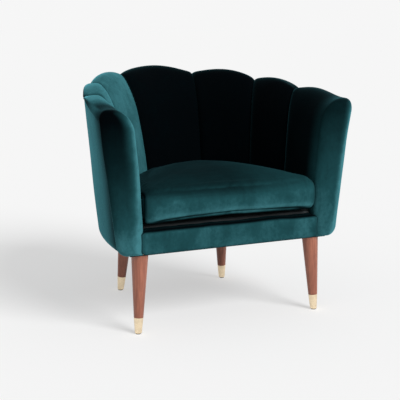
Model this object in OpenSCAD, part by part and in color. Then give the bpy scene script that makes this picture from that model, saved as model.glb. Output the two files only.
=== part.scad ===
// Tub chair with a channelled shell, a loose seat cushion and four tapered legs.
// Millimetres, +Z up, the back towards +Y, origin on the floor under the middle of the box.

/* [Overall] */
// Depth from the front of the cushion to the back of the shell
overall_d = 700; // [640:1:760]
// Height of the middle channel's crest above the floor
overall_h = 729; // [700:1:800]
// Height of the arms' crest at the front, between the channels
arm_h = 657; // [630:1:690]
// Width across the arms, just under their crest
overall_w = 808; // [740:1:880]
// Width of the shell at its underside
base_w = 700; // [640:1:760]
// Depth of the shell at its underside, from the arms' widest line to the back
base_d = 540; // [490:1:580]
// Height of the shell's underside above the floor
underside_h = 234; // [180:1:280]

/* [Inside of the tub] */
// Width between the arms at the seat, in the valleys of the channels
tub_w = 592; // [540:1:620]
// Depth of the inside at the seat, from the arms' widest line
tub_d = 430; // [390:1:450]
// How far each side leans out between the underside and the roll
side_lean = 20; // [10:1:30]
// How far the back leans out between the underside and the roll
back_lean = 73; // [50:1:85]
// Height where the inside starts to roll over
roll_h = 585; // [560:1:600]
// Width between the crests of the two arms
crest_w = 704; // [680:1:740]
// Depth of the crest at the back, from the arms' widest line
crest_d = 620; // [580:1:632]

/* [Channels] */
// Angle that the middle channel takes, seen from above
centre_angle = 25.4; // [22:0.1:29]
// Angle that each channel beside the middle one takes
back_angle = 22.4; // [20:0.1:26]
// Angle that each side channel takes
side_angle = 21.7; // [19:0.1:25]
// How far a channel swells into the tub
channel_bulge = 18; // [10:1:24]
// Rise of the middle channel above its seams
centre_rise = 21; // [10:1:28]
// Rise of the arm channels above their seams
arm_rise = 13; // [8:1:20]
// Thickness of the padding in a seam
pad_t = 24; // [18:1:28]
// How far a channel comes down on the outside of the back
lip_drop = 13; // [8:1:24]
// How far a channel comes down on the outside at the arm fronts
arm_lip_drop = 36; // [26:1:44]
// How far the arms' crest stands out from the oval of the back
arm_crest_out = 22; // [10:1:30]
// How far a channel stands proud of the outside cover
lip_proud = 5; // [3:0.5:8]
// Depth of the rounded arm front
nose_d = 25; // [20:1:32]
// Padding in front of the arm post
nose_pad = 16; // [12:1:18]

/* [Outside cover] */
// Thickness of the outside cover with its wadding
cover_t = 5; // [4:0.5:6]
// Thickness of the board behind the outside cover
board_t = 4; // [3:0.5:5]
// Radius of the shell's lower edge
lower_r = 30; // [24:1:34]

/* [Seat] */
// How far the cushion stands in front of the arms
cushion_front = 25; // [15:1:35]
// Thickness of the cushion at its edge
cushion_h = 108; // [90:1:120]
// Rise of the cushion's crown
crown_h = 24; // [15:1:35]
// Clearance between the cushion and the channels
cushion_gap = 1.5; // [1:0.5:4]
// Height of the front rail's cover, from the underside
rail_cover_h = 74; // [70:1:80]
// Padding on the front rail
rail_pad = 9; // [7:1:12]

/* [Frame] */
// Thickness of the plywood rings and ribs
ply_t = 18; // [15:1:21]
// Height of the blocks between the base frame and the seat ring
block_h = 22; // [18:1:30]
// Width of the timber ring under the seat
ring_w = 62; // [50:1:75]
// Height of the top rail
top_rail_h = 20; // [16:1:24]
// Depth of the top rail, front to back
top_rail_w = 26; // [20:1:28]
// Width of a webbing strap
strap_w = 56; // [45:1:62]
// Thickness of a webbing strap
strap_t = 1.6; // [1.2:0.1:2]

/* [Legs] */
// Half the distance between the front feet
front_foot_x = 293; // [260:1:310]
// Half the distance between the back feet
back_foot_x = 187; // [160:1:210]
// Distance between the front and the back feet
feet_d = 447; // [400:1:470]
// How far the front feet stand behind the arm fronts
foot_set_back = 30; // [20:1:50]
// How far a front leg leans in towards the middle, each way
front_splay = 12; // [6:1:18]
// How far a back leg leans in towards the front
back_splay = 22; // [14:1:28]
// Diameter of a leg at its top
leg_top_d = 50; // [42:1:54]
// Diameter of a leg at the top of its cap
cap_top_d = 28; // [24:1:32]
// Diameter of a leg's cap at the floor
cap_foot_d = 20; // [18:1:24]
// Height of a leg's cap
cap_h = 48; // [36:1:60]
// Wall of a leg's cap
cap_t = 1.2; // [0.8:0.1:1.6]
// Diameter of the bolt that holds a leg
bolt_d = 8; // [6:1:10]

/* [Hidden] */

// Clearance between faces that must not touch
fit = 0.3;
// Clearance between curved layers that lie on each other
skin_gap = 1.2;
// Clearance between the outside cover and the board, whose bends fall at other angles
board_gap = 2;
// Overrun of a cut past the face it opens
over = 1;
// Facets of a round part
round_fn = 48;

// Layers on the underside: the dust cover and the covers' turned edge
dust_t = 1;
turn_t = 2;
cover_z = underside_h + dust_t;
base_z = cover_z + turn_t;
block_z = base_z + ply_t;
ring_z = block_z + block_h;
deck_z = ring_z + ply_t;

// The pad and the cloth on the seat webbing
deck_pad_t = 16;
deck_cloth_t = 1;
strap_top = deck_z + 2 * strap_t + fit;
deck_top = strap_top + deck_pad_t + deck_cloth_t;

// Places along Y
arm_front_y = -overall_d / 2 + cushion_front;
centre_y = arm_front_y + nose_d;
shell_back_r = overall_d / 2 - centre_y - lip_proud;
rail_front_y = centre_y - nose_d + nose_pad;

// Half widths and the squareness of the outside, low and high
low_a = base_w / 2;
high_a = overall_w / 2 - lip_proud;
low_n = 2.3;
high_n = 1.78;

// Seams between the channels, as angles from the middle of the back
seam_angles = [
    centre_angle / 2,
    centre_angle / 2 + back_angle,
    centre_angle / 2 + back_angle + side_angle,
    90
];
back_top = overall_h - centre_rise;

function mix(a, b, t) = a + (b - a) * t;
function unit(t) = max(0, min(1, t));
function signed_pow(v, e) = sign(v) * pow(abs(v), e);
function reversed(v) = [for (i = [len(v) - 1:-1:0]) v[i]];

// Radius of an oval with half width a, depth b and squareness n, at an angle from +Y
function oval(phi, a, b, n = 2) = pow(pow(abs(sin(phi)) / a, n) + pow(abs(cos(phi)) / b, n), -1 / n);

// Share of the inside's lean that is reached at a height
function lean_share(z) = pow(unit((z - underside_h) / (roll_h - underside_h)), 2);

// The inside of the tub in the valleys, at an angle and a height up to the roll
function valley_r(phi, z) = oval(
    phi,
    tub_w / 2 + side_lean * lean_share(z),
    tub_d + back_lean * lean_share(z)
);

// The outside cover's face, without its rounded lower edge
function side_share(z) = (z - underside_h) / (arm_h - arm_lip_drop - underside_h);
function back_share(z) = (z - underside_h) / (overall_h - lip_drop - underside_h);
function outside_r(phi, z) = oval(
    phi,
    mix(low_a, high_a, side_share(z)),
    mix(base_d, shell_back_r, back_share(z)),
    mix(low_n, high_n, back_share(z))
);

// Share of an arm channel, from its seam to the arms' widest line
function arm_share(phi) = unit((abs(phi) - seam_angles[2]) / (90 - seam_angles[2]));

// The crest line, and the height of its valleys
function crest_r(phi) = oval(phi, crest_w / 2, crest_d) + arm_crest_out * sin(90 * unit(2 * arm_share(phi)));
function valley_top(phi) = mix(back_top, arm_h, pow(sin(phi), 2));
function rise(phi) = mix(centre_rise, arm_rise, pow(sin(phi), 2));

// The lip comes down further from this angle on, towards the arm fronts
lip_turn = 66;
function lip_drop_at(phi) = mix(lip_drop, arm_lip_drop, unit((abs(phi) - lip_turn) / (90 - lip_turn)));

// How full the arm front is at a distance t in front of the arms' widest line
function nose_share(t) = sqrt(1 - pow(unit(t / nose_d), 2));
// How far the crest comes down over the depth of the arm front
nose_fall = 14;

// Slope of the inside where the roll starts
slope_step = 5;
function roll_slope(phi) = (valley_r(phi, roll_h) - valley_r(phi, roll_h - slope_step)) / slope_step;

// Points [radius, height] of the inside face, the roll and the lip of a channel.
// swell is the share of the bulge, arch the share of the rise.
inside_steps = 6;
roll_steps = 6;
lip_steps = 4;
lip_n = 0.8;
function top_at(phi, t, arch) = valley_top(phi) + rise(phi) * arch - nose_fall * (1 - nose_share(t));
function inside_at(phi, z, swell) = [valley_r(phi, z) - channel_bulge * swell, z];
function roll_at(phi, t, swell, arch, turn) =
    let (
        start = valley_r(phi, roll_h) - channel_bulge * swell,
        top = top_at(phi, t, arch),
        z = mix(roll_h, top, sin(turn))
    )
    [mix(start, crest_r(phi), 1 - cos(turn)) + roll_slope(phi) * (z - roll_h) * cos(turn), z];
function lip_at(phi, t, arch, turn) =
    let (
        top = top_at(phi, t, arch),
        low = top - lip_drop_at(phi),
        out = outside_r(phi, low) + lip_proud
    )
    [mix(crest_r(phi), out, pow(sin(turn), lip_n)), mix(low, top, pow(cos(turn), lip_n))];

// The face of a channel from the inside's foot to the lip
function face_path(phi, t, swell, arch) = [
    for (i = [0:inside_steps - 1]) inside_at(phi, mix(deck_z + fit, roll_h, i / inside_steps), swell),
    for (i = [0:roll_steps - 1]) roll_at(phi, t, swell, arch, 90 * i / roll_steps),
    for (i = [0:lip_steps]) lip_at(phi, t, arch, 90 * i / lip_steps)
];

// The rear of a channel, which lies on the frame, from the lip back to the foot.
// It has as many points as the face, so that a channel's ends close as a strip.
function rear_roll_at(phi, turn) =
    let (p = roll_at(phi, 0, 0, 0, turn))
    [p[0] + pad_t * cos(turn), p[1] - pad_t * sin(turn)];
function rear_lip_at(phi, arch, turn) =
    let (p = lip_at(phi, 0, 0, turn), low = lip_at(phi, 0, arch, 90)[1])
    [p[0] - (cover_t + lip_proud) * sin(turn), mix(p[1] - pad_t * cos(turn), low, pow(sin(turn), 2))];
function rear_path(phi, arch) = [
    for (i = [lip_steps:-1:1]) rear_lip_at(phi, arch, 90 * i / lip_steps),
    for (i = [roll_steps:-1:0]) rear_roll_at(phi, 90 * i / roll_steps),
    for (i = [inside_steps - 1:-1:0])
        let (z = mix(deck_z + fit, roll_h, i / inside_steps)) [valley_r(phi, z) + pad_t, z]
];

// Radius of the channels' rear face at a height
function rear_r(phi, z) = z <= roll_h
    ? valley_r(phi, z) + pad_t
    : rear_roll_at(phi, asin(unit((z - roll_h) / (valley_top(phi) - roll_h - pad_t))))[0];

// Radius of the board's inner face at a height
function frame_r(phi, z) = outside_r(phi, z) - cover_t - board_gap - board_t - skin_gap;

// A point at an angle, a distance t in front of the arms' widest line, a radius and a height
function place(phi, t, p) = [p[0] * sin(phi), centre_y - t + p[0] * cos(phi), p[1]];

// A closed solid through rings that all have the same number of points.
// A band's ring goes along one side and back along the other, so its ends close as a strip.
function band_cap(first, n) = [
    for (j = [0:n / 2 - 2]) each
        let (a = first + j, b = a + 1, c = first + n - 1 - j, d = c - 1)
        [[a, b, d], [a, d, c]]
];
module skin(rings, band = false) {
    n = len(rings[0]);
    m = len(rings);
    sides = [
        for (i = [0:m - 2]) for (j = [0:n - 1]) each
            let (a = i * n + j, b = i * n + (j + 1) % n, c = a + n, d = b + n)
            [[a, b, c], [b, d, c]]
    ];
    ends = band
        ? concat([for (f = band_cap(0, n)) reversed(f)], band_cap((m - 1) * n, n))
        : [[for (j = [n - 1:-1:0]) j], [for (j = [0:n - 1]) (m - 1) * n + j]];
    polyhedron([for (r = rings) each r], concat(sides, ends), convexity = 10);
}

// Turns the rings the right way round for skin
module swept(stations, sections) {
    skin(
        [for (i = [0:len(stations) - 1]) [for (p = sections[i]) place(stations[i][0], stations[i][1], p)]],
        band = true
    );
}

// Share across a channel, from -1 at one seam to 1 at the other
function across(i, n) = 2 * i / n - 1;
function arch(q) = max(0, 1 - q * q);
swell_n = 0.8;
function swell(q) = pow(arch(q), swell_n);

// The angles of a channel's rings, and of a run of channels between a list of seams
channel_steps = 8;
function channel_angles(low, high) = [for (i = [0:channel_steps]) mix(low, high, i / channel_steps)];
function run_angles(seams) = [
    for (k = [0:len(seams) - 2])
        for (i = [0:channel_steps - 1]) mix(seams[k], seams[k + 1], i / channel_steps),
    seams[len(seams) - 1]
];
function channel_ring(phi, swell_share, arch_share) =
    concat(face_path(phi, 0, swell_share, arch_share), rear_path(phi, arch_share));

// A channel between two seams
module channel(low, high) {
    angles = channel_angles(low, high);
    swept(
        [for (phi = angles) [phi, 0]],
        [for (i = [0:channel_steps])
            let (q = across(i, channel_steps))
            channel_ring(angles[i], swell(q), arch(q))]
    );
}

// Share of the rise of an arm channel, which falls off again towards the arm front
arm_peak_share = 0.36;
function arm_arch(share) = share < arm_peak_share
    ? sin(90 * share / arm_peak_share)
    : (1 + cos(180 * (share - arm_peak_share) / (1 - arm_peak_share))) / 2;

// The part of an arm channel behind the arms' widest line.
// Its last ring is tucked into the arm front, so that the two grow together.
tuck_share = 0.02;
function tucked(p) = [
    mix(p[0], nose_middle(p[1]), tuck_share),
    mix(p[1], (deck_z + arm_h) / 2, tuck_share)
];
module arm_hook() {
    angles = channel_angles(seam_angles[2], 90);
    rings = [
        for (i = [0:channel_steps])
            let (share = i / channel_steps)
            channel_ring(angles[i], swell(1 - share), arm_arch(share))
    ];
    tuck = [for (p = rings[channel_steps]) tucked(p)];
    swept(concat([for (phi = angles) [phi, 0]], [[90, over]]), concat(rings, [tuck]));
}

// The section of the arm front, drawn in to its middle by the nose
outer_steps = 6;
foot_steps = 2;
corner_steps = 3;
function nose_middle(z) =
    let (
        low = (valley_r(90, min(z, roll_h)) + outside_r(90, min(z, roll_h))) / 2,
        share = unit((z - roll_h) / (arm_h - roll_h))
    )
    mix(low, crest_r(90), share * share);
function drawn_in(p, t) = [nose_middle(p[1]) + (p[0] - nose_middle(p[1])) * nose_share(t), p[1]];
function nose_section(t) =
    let (
        low = lip_at(90, t, 0, 90)[1],
        path = concat(
            [for (i = [0:foot_steps - 1]) inside_at(90, mix(cover_z, deck_z + fit, i / foot_steps), 1)],
            face_path(90, t, 1, 0),
            [for (i = [1:outer_steps])
                let (z = mix(low, cover_z + lower_r, i / outer_steps))
                [outside_r(90, z) + lip_proud, z]],
            [for (i = [1:corner_steps])
                let (w = 90 * i / corner_steps, z = cover_z + lower_r * (1 - sin(w)))
                [outside_r(90, z) + lip_proud - lower_r * (1 - cos(w)), z]]
        )
    )
    [for (p = path) drawn_in(p, t)];

// The hollow in the arm front that the frame fills
function core_out(z) = z > cover_z + lower_r
    ? frame_r(90, z)
    : mix(outside_r(90, cover_z) - lower_r + over, frame_r(90, cover_z + lower_r), (z - cover_z) / lower_r);
core_steps = 6;
core_in = tub_w / 2 - channel_bulge - over;
function core_outline(gap) = concat(
    [[core_in, cover_z - over], [core_in, deck_z + fit - gap]],
    [for (i = [0:core_steps]) let (z = mix(deck_z, roll_h, i / core_steps))
        [rear_r(90, z) + gap, z + fit - gap]],
    [for (i = [1:core_steps]) let (z = mix(roll_h, arm_h - pad_t - fit, i / core_steps))
        [rear_r(90, z) + gap, z - gap]],
    [for (z = [arm_h - arm_lip_drop - gap, cover_z + lower_r, cover_z - over]) [core_out(z), z]]
);
module arm_core(gap, front, back) {
    translate([0, back, 0])
        rotate([90, 0, 0])
            linear_extrude(back - front)
                polygon(core_outline(gap));
}
nose_shares = [0, 0.25, 0.5, 0.7, 0.85, 0.95, 0.99];
module arm_channel() {
    arm_hook();
    difference() {
        swept([for (s = nose_shares) [90, s * nose_d]], [for (s = nose_shares) nose_section(s * nose_d)]);
        arm_core(fit, rail_front_y - fit, centre_y + over);
    }
}

module centre_channel() { color([0.13, 0.30, 0.33]) channel(-seam_angles[0], seam_angles[0]); }
module right_back_channel() { color([0.13, 0.30, 0.33]) channel(seam_angles[0], seam_angles[1]); }
module left_back_channel() { color([0.13, 0.30, 0.33]) channel(-seam_angles[1], -seam_angles[0]); }
module right_side_channel() { color([0.13, 0.30, 0.33]) channel(seam_angles[1], seam_angles[2]); }
module left_side_channel() { color([0.13, 0.30, 0.33]) channel(-seam_angles[2], -seam_angles[1]); }
module right_arm_channel() { color([0.13, 0.30, 0.33]) arm_channel(); }
module left_arm_channel() { color([0.13, 0.30, 0.33]) mirror([1, 0, 0]) arm_channel(); }

// Height of the outside cover's upper edge, which follows the channels' lips
function channel_arch(phi) =
    let (p = abs(phi))
    p <= seam_angles[0] ? arch(p / seam_angles[0])
    : p <= seam_angles[1] ? arch(2 * (p - seam_angles[0]) / back_angle - 1)
    : p <= seam_angles[2] ? arch(2 * (p - seam_angles[1]) / side_angle - 1)
    : arm_arch(arm_share(phi));
function lip_z(phi) = valley_top(phi) + rise(phi) * channel_arch(phi) - lip_drop_at(phi);

// Section of the outside cover, turned under at its foot
turn_w = 15;
cover_steps = 3;
function corner_at(phi, r, w) =
    let (z = cover_z + lower_r - r * sin(w))
    [outside_r(phi, z) - lower_r + r * cos(w), z];
function cover_section(phi) =
    let (
        heights = [for (i = [0:cover_steps]) mix(lip_z(phi) - skin_gap, cover_z + lower_r, i / cover_steps)],
        foot_r = outside_r(phi, cover_z) - lower_r,
        foot_top = cover_z + turn_t - fit
    )
    concat(
        [for (z = heights) [outside_r(phi, z), z]],
        [for (i = [1:corner_steps]) corner_at(phi, lower_r, 90 * i / corner_steps)],
        [[foot_r - turn_w, cover_z], [foot_r - turn_w, foot_top], [foot_r, foot_top]],
        [for (i = [corner_steps - 1:-1:1]) corner_at(phi, lower_r - cover_t, 90 * i / corner_steps)],
        [for (z = reversed(heights)) [outside_r(phi, z) - cover_t, z]]
    );
module outside_cover(seams) {
    angles = run_angles(seams);
    color([0.16, 0.36, 0.39])
        swept([for (phi = angles) [phi, 0]], [for (phi = angles) cover_section(phi)]);
}
module right_outside_cover() { outside_cover([seam_angles[1], seam_angles[2], 90]); }
module back_outside_cover() {
    outside_cover([-seam_angles[1], -seam_angles[0], seam_angles[0], seam_angles[1]]);
}
module left_outside_cover() { mirror([1, 0, 0]) right_outside_cover(); }

// The board behind the outside cover, and the top rail and the webbing that follow the shell
board_steps = 40;
board_rows = 3;
frame_end = 89.5;
top_space = 13;
function bent_angle(end, i) = mix(-end, end, i / board_steps);
module bent(end, sections) {
    swept([for (i = [0:board_steps]) [bent_angle(end, i), 0]], sections);
}
function bar_section(in_low, in_top, out_low, out_top, low, top) =
    [[in_low, low], [in_top, top], [out_top, top], [out_low, low]];
function rail_top(phi) = valley_top(phi) - pad_t - top_space;
function board_section(phi) =
    let (
        low = cover_z + lower_r + over,
        heights = [for (k = [0:board_rows]) mix(low, rail_top(phi), k / board_rows)]
    )
    concat(
        [for (z = heights) [outside_r(phi, z) - cover_t - board_gap - board_t, z]],
        [for (z = reversed(heights)) [outside_r(phi, z) - cover_t - board_gap, z]]
    );
module outside_board() {
    color([0.62, 0.50, 0.36])
        bent(frame_end, [for (i = [0:board_steps]) board_section(bent_angle(frame_end, i))]);
}
function rail_in(phi, z) = max(frame_r(phi, z) - top_rail_w, rear_r(phi, z) + rib_gap);
function rail_section(phi) =
    let (top = rail_top(phi), low = top - top_rail_h)
    bar_section(rail_in(phi, low), rail_in(phi, top), frame_r(phi, low), frame_r(phi, top), low, top);
module top_rail() {
    color([0.80, 0.66, 0.46])
        bent(frame_end, [for (i = [0:board_steps]) rail_section(bent_angle(frame_end, i))]);
}
band_gap = 1.2;
rib_gap = 2 * band_gap + strap_t;
band_end = 80;
band_heights = [385, 490];
function band_section(phi, low) =
    let (top = low + strap_w, in_low = rear_r(phi, low) + band_gap, in_top = rear_r(phi, top) + band_gap)
    bar_section(in_low, in_top, in_low + strap_t, in_top + strap_t, low, top);
module back_webbing() {
    color([0.20, 0.20, 0.20])
        for (low = band_heights)
            bent(band_end, [for (i = [0:board_steps]) band_section(bent_angle(band_end, i), low)]);
}

// A plan outline round the back, from its radii on the right side, cut straight at the front
plan_steps = 24;
function plan_angle(i) = 90 * (1 - i / plan_steps);
function around(radii, front_y) =
    let (
        half = [
            for (i = [0:plan_steps])
                [radii[i] * sin(plan_angle(i)), centre_y + radii[i] * cos(plan_angle(i))]
        ],
        front_x = lookup(front_y, [for (p = half) [p[1], p[0]]]),
        side = [[front_x, front_y], for (p = half) if (p[1] > front_y + fit) p]
    )
    concat(side, [for (p = reversed(side)) if (p[0] > fit) [-p[0], p[1]]]);
module slab(z, t, points) { translate([0, 0, z]) linear_extrude(t) polygon(points); }

// Plywood ribs, one at each seam, with the inside's and the outside's curve on their edges
rib_steps = 10;
function rib_turn(phi, z) = atan(ply_t / 2 / rear_r(phi, z));
function rib_in(phi, z) =
    let (turn = rib_turn(phi, z))
    max(rear_r(phi + turn, z), rear_r(phi - turn, z)) + rib_gap;
function rib_out(phi, z) =
    let (turn = rib_turn(phi, z))
    min(frame_r(phi + turn, z), frame_r(phi - turn, z)) * cos(turn);
function rib_outline(phi) =
    let (
        turn = rib_turn(phi, roll_h),
        top = min(rail_top(phi + turn), rail_top(phi - turn)) - top_rail_h - skin_gap
    )
    concat(
        [for (i = [0:rib_steps]) let (z = mix(block_z, top, i / rib_steps)) [rib_in(phi, z), z]],
        [for (i = [rib_steps:-1:0]) let (z = mix(block_z, top, i / rib_steps)) [rib_out(phi, z), z]]
    );
module rib(phi) {
    translate([0, centre_y, 0])
        rotate([0, 0, 90 - phi])
            rotate([90, 0, 0])
                translate([0, 0, -ply_t / 2])
                    linear_extrude(ply_t)
                        polygon(rib_outline(phi));
}
module rib_slots(from_z, height) {
    for (i = [0:2]) for (side = [-1, 1])
        translate([0, centre_y, from_z])
            rotate([0, 0, 90 - side * seam_angles[i]])
                translate([rear_r(seam_angles[i], from_z) - fit, -ply_t / 2 - fit, -over])
                    cube([overall_d, ply_t + 2 * fit, height + 2 * over]);
}
module left_back_rib() { color([0.80, 0.66, 0.46]) rib(-seam_angles[0]); }
module right_back_rib() { color([0.80, 0.66, 0.46]) rib(seam_angles[0]); }
module left_corner_rib() { color([0.80, 0.66, 0.46]) rib(-seam_angles[1]); }
module right_corner_rib() { color([0.80, 0.66, 0.46]) rib(seam_angles[1]); }
module left_side_rib() { color([0.80, 0.66, 0.46]) rib(-seam_angles[2]); }
module right_side_rib() { color([0.80, 0.66, 0.46]) rib(seam_angles[2]); }

// The arm posts stand on the base frame just behind the arm fronts
post_d = 44;
post_back_y = rail_front_y + fit + post_d;
function post_outline() =
    let (top = rail_top(90) - top_rail_h - skin_gap)
    concat(
        [for (i = [0:rib_steps]) let (z = mix(block_z, top, i / rib_steps))
            [rear_r(90, max(z, deck_z)) + rib_gap, z]],
        [for (z = [top, cover_z + lower_r, block_z]) [core_out(z) - skin_gap, z]]
    );
module arm_post() {
    color([0.80, 0.66, 0.46])
        translate([0, post_back_y, 0])
            rotate([90, 0, 0])
                linear_extrude(post_d)
                    polygon(post_outline());
}
module right_arm_post() { arm_post(); }
module left_arm_post() { mirror([1, 0, 0]) arm_post(); }

// The base frame, the seat ring and the rails between the ribs
function base_radii() = [for (i = [0:plan_steps]) outside_r(plan_angle(i), underside_h) - lower_r - fit];
function hole_radii(w) = [for (i = [0:plan_steps]) valley_r(plan_angle(i), deck_z) - channel_bulge - w];
module base_frame() {
    color([0.76, 0.60, 0.40]) difference() {
        slab(base_z, ply_t, around(base_radii(), rail_front_y));
        slab(base_z - over, ply_t + 2 * over, around(hole_radii(ring_w), rail_front_y + ring_w));
        on_bolts() cylinder(h = underside_h, d = nut_d + 2 * fit, center = true, $fn = round_fn);
    }
}
module seat_ring() {
    outside = [for (i = [0:plan_steps]) frame_r(plan_angle(i), ring_z)];
    color([0.76, 0.60, 0.40]) difference() {
        slab(ring_z, ply_t, around(outside, rail_front_y + ply_t + fit));
        slab(ring_z - over, ply_t + 2 * over, around(hole_radii(ring_w), rail_front_y + ring_w));
        for (side = [0, 1])
            mirror([side, 0, 0])
                translate([rear_r(90, deck_z), post_back_y + fit - 2 * post_d, ring_z - over])
                    cube([overall_w, 2 * post_d, ply_t + 2 * over]);
        rib_slots(ring_z, ply_t);
    }
}
mid_z = 445;
module mid_rails() {
    outside = [for (i = [0:plan_steps]) frame_r(plan_angle(i), mid_z) - 2 * fit];
    inside = [for (i = [0:plan_steps]) rear_r(plan_angle(i), mid_z + ply_t) + rib_gap];
    color([0.80, 0.66, 0.46]) difference() {
        slab(mid_z, ply_t, around(outside, post_back_y + fit));
        slab(mid_z - over, ply_t + 2 * over, around(inside, rail_front_y));
        rib_slots(mid_z, ply_t);
    }
}

// Places of the four legs: front left, front right, back left, back right
front_foot_y = arm_front_y + foot_set_back;
back_foot_y = front_foot_y + feet_d;
back_splay_share = 0.7;
feet = [
    [-front_foot_x, front_foot_y],
    [front_foot_x, front_foot_y],
    [-back_foot_x, back_foot_y],
    [back_foot_x, back_foot_y]
];
tops = [
    feet[0] + [front_splay, front_splay],
    feet[1] + [-front_splay, front_splay],
    feet[2] + [back_splay_share * back_splay, -back_splay],
    feet[3] + [-back_splay_share * back_splay, -back_splay]
];
function leg_length(i) = norm(concat(tops[i] - feet[i], [underside_h]));
// Along a leg's own axis, from the floor up, with its start line turned out of the lean
seam_turn = 45;
module along_leg(i) {
    run = tops[i] - feet[i];
    translate([feet[i][0], feet[i][1], 0])
        rotate([0, atan2(norm(run), underside_h), atan2(run[1], run[0])])
            rotate([0, 0, seam_turn])
                children();
}
module on_bolts(first = 0, end = 3) {
    for (i = [first:end]) translate([tops[i][0], tops[i][1], underside_h]) children();
}

// Keeps what lies between two heights
module between(low, high) {
    intersection() {
        children();
        translate([-overall_w, -overall_d, low]) cube([2 * overall_w, 2 * overall_d, high - low]);
    }
}

// A hanger bolt's depth in the leg and its length above it
bolt_in = 30;
bolt_up = 26;
glide_h = 3;
glide_d = 15;
module cone(h, foot_d, top_d) { cylinder(h = h, d1 = foot_d, d2 = top_d, $fn = round_fn); }
module leg(i) {
    length = leg_length(i);
    spare = leg_top_d / 2;
    spread = (leg_top_d - cap_top_d) / (length - cap_h);
    tenon_gap = 2 * cap_t + fit;
    color([0.50, 0.24, 0.16]) difference() {
        between(glide_h + fit, underside_h) along_leg(i) {
            translate([0, 0, cap_h + fit])
                cone(length + spare - cap_h, cap_top_d, leg_top_d + spread * spare);
            cone(cap_h + fit, cap_foot_d - tenon_gap, cap_top_d - tenon_gap);
        }
        on_bolts(i, i) cylinder(h = 2 * bolt_in, d = bolt_d, center = true, $fn = round_fn);
    }
}
module cap(i) {
    color([0.85, 0.72, 0.45]) between(glide_h, underside_h) along_leg(i) difference() {
        cone(cap_h, cap_foot_d, cap_top_d);
        translate([0, 0, -over]) cone(cap_h + 2 * over, cap_foot_d - 2 * cap_t, cap_top_d - 2 * cap_t);
    }
}
module front_left_leg() { leg(0); }
module front_right_leg() { leg(1); }
module back_left_leg() { leg(2); }
module back_right_leg() { leg(3); }
module front_left_cap() { cap(0); }
module front_right_cap() { cap(1); }
module back_left_cap() { cap(2); }
module back_right_cap() { cap(3); }
module foot_glides() {
    color([0.15, 0.15, 0.15]) for (p = feet)
        translate([p[0], p[1], 0]) cylinder(h = glide_h, d = glide_d, $fn = round_fn);
}
module leg_bolts() {
    color([0.70, 0.70, 0.72])
        on_bolts()
            translate([0, 0, fit - bolt_in])
                cylinder(h = bolt_in + bolt_up, d = bolt_d - fit, $fn = round_fn);
}
nut_d = 11;
nut_flange_d = 22;
nut_flange_t = 1.5;
module tee_nuts() {
    barrel_z = base_z + fit - underside_h;
    color([0.70, 0.70, 0.72]) on_bolts() difference() {
        union() {
            translate([0, 0, barrel_z]) cylinder(h = ply_t, d = nut_d, $fn = round_fn);
            translate([0, 0, barrel_z + ply_t]) cylinder(h = nut_flange_t, d = nut_flange_d, $fn = round_fn);
        }
        cylinder(h = underside_h, d = bolt_d + fit, center = true, $fn = round_fn);
    }
}

// Solid blocks over the legs, between the base frame and the seat ring
block_w = 64;
block_d = 48;
block_in = 18;
module corner_blocks() {
    color([0.80, 0.66, 0.46]) difference() {
        for (p = tops)
            translate([
                p[0] - sign(p[0]) * block_in - block_w / 2,
                max(p[1] - block_w / 2, rail_front_y + ply_t + fit),
                block_z
            ])
                cube([block_w, block_d, block_h - fit]);
        on_bolts() cylinder(h = underside_h, d = nut_flange_d + 2 * over, $fn = round_fn);
    }
}

// The front rail stands on the base frame and carries the padded cover
rail_half = tub_w / 2 - channel_bulge - 2 * fit;
module front_rail() {
    color([0.80, 0.66, 0.46])
        translate([-rail_half + rail_pad, rail_front_y, block_z])
            cube([2 * (rail_half - rail_pad), ply_t, deck_z - block_z]);
}
rail_r = 10;
seat_front_y = rail_front_y + ply_t + rail_pad;
module rail_cover_outline() {
    front = rail_front_y - rail_pad;
    top = underside_h + rail_cover_h;
    difference() {
        hull() {
            translate([front + rail_r, cover_z + rail_r]) circle(rail_r);
            translate([front + rail_r, top - rail_r]) circle(rail_r);
            translate([seat_front_y - rail_r / 2, top - rail_r / 2]) circle(rail_r / 2);
            translate([seat_front_y - rail_r / 2, cover_z]) square([rail_r / 2, rail_r]);
        }
        translate([rail_front_y - fit, base_z - fit])
            square([overall_d, deck_z - base_z + 2 * fit]);
    }
}
// The cover's ends follow the inner corner of each arm front
function rail_end_x(t) = drawn_in([tub_w / 2 - channel_bulge, cover_z], t)[0] - 2 * fit;
rail_end_count = 5;
module rail_cover_plan() {
    side = [
        [rail_end_x(0), centre_y + overall_d / 2],
        for (i = [0:rail_end_count - 1]) let (t = nose_shares[i] * nose_d) [rail_end_x(t), centre_y - t]
    ];
    polygon(concat(side, [for (p = reversed(side)) [-p[0], p[1]]]));
}
module front_rail_cover() {
    color([0.16, 0.36, 0.39]) difference() {
        intersection() {
            translate([-overall_w / 2, 0, 0])
                rotate([90, 0, 90])
                    linear_extrude(overall_w)
                        rail_cover_outline($fn = round_fn);
            linear_extrude(overall_h)
                rail_cover_plan();
        }
        on_bolts(0, 1) cylinder(h = 2 * rail_r, d = nut_d, center = true, $fn = round_fn);
    }
}

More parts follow.
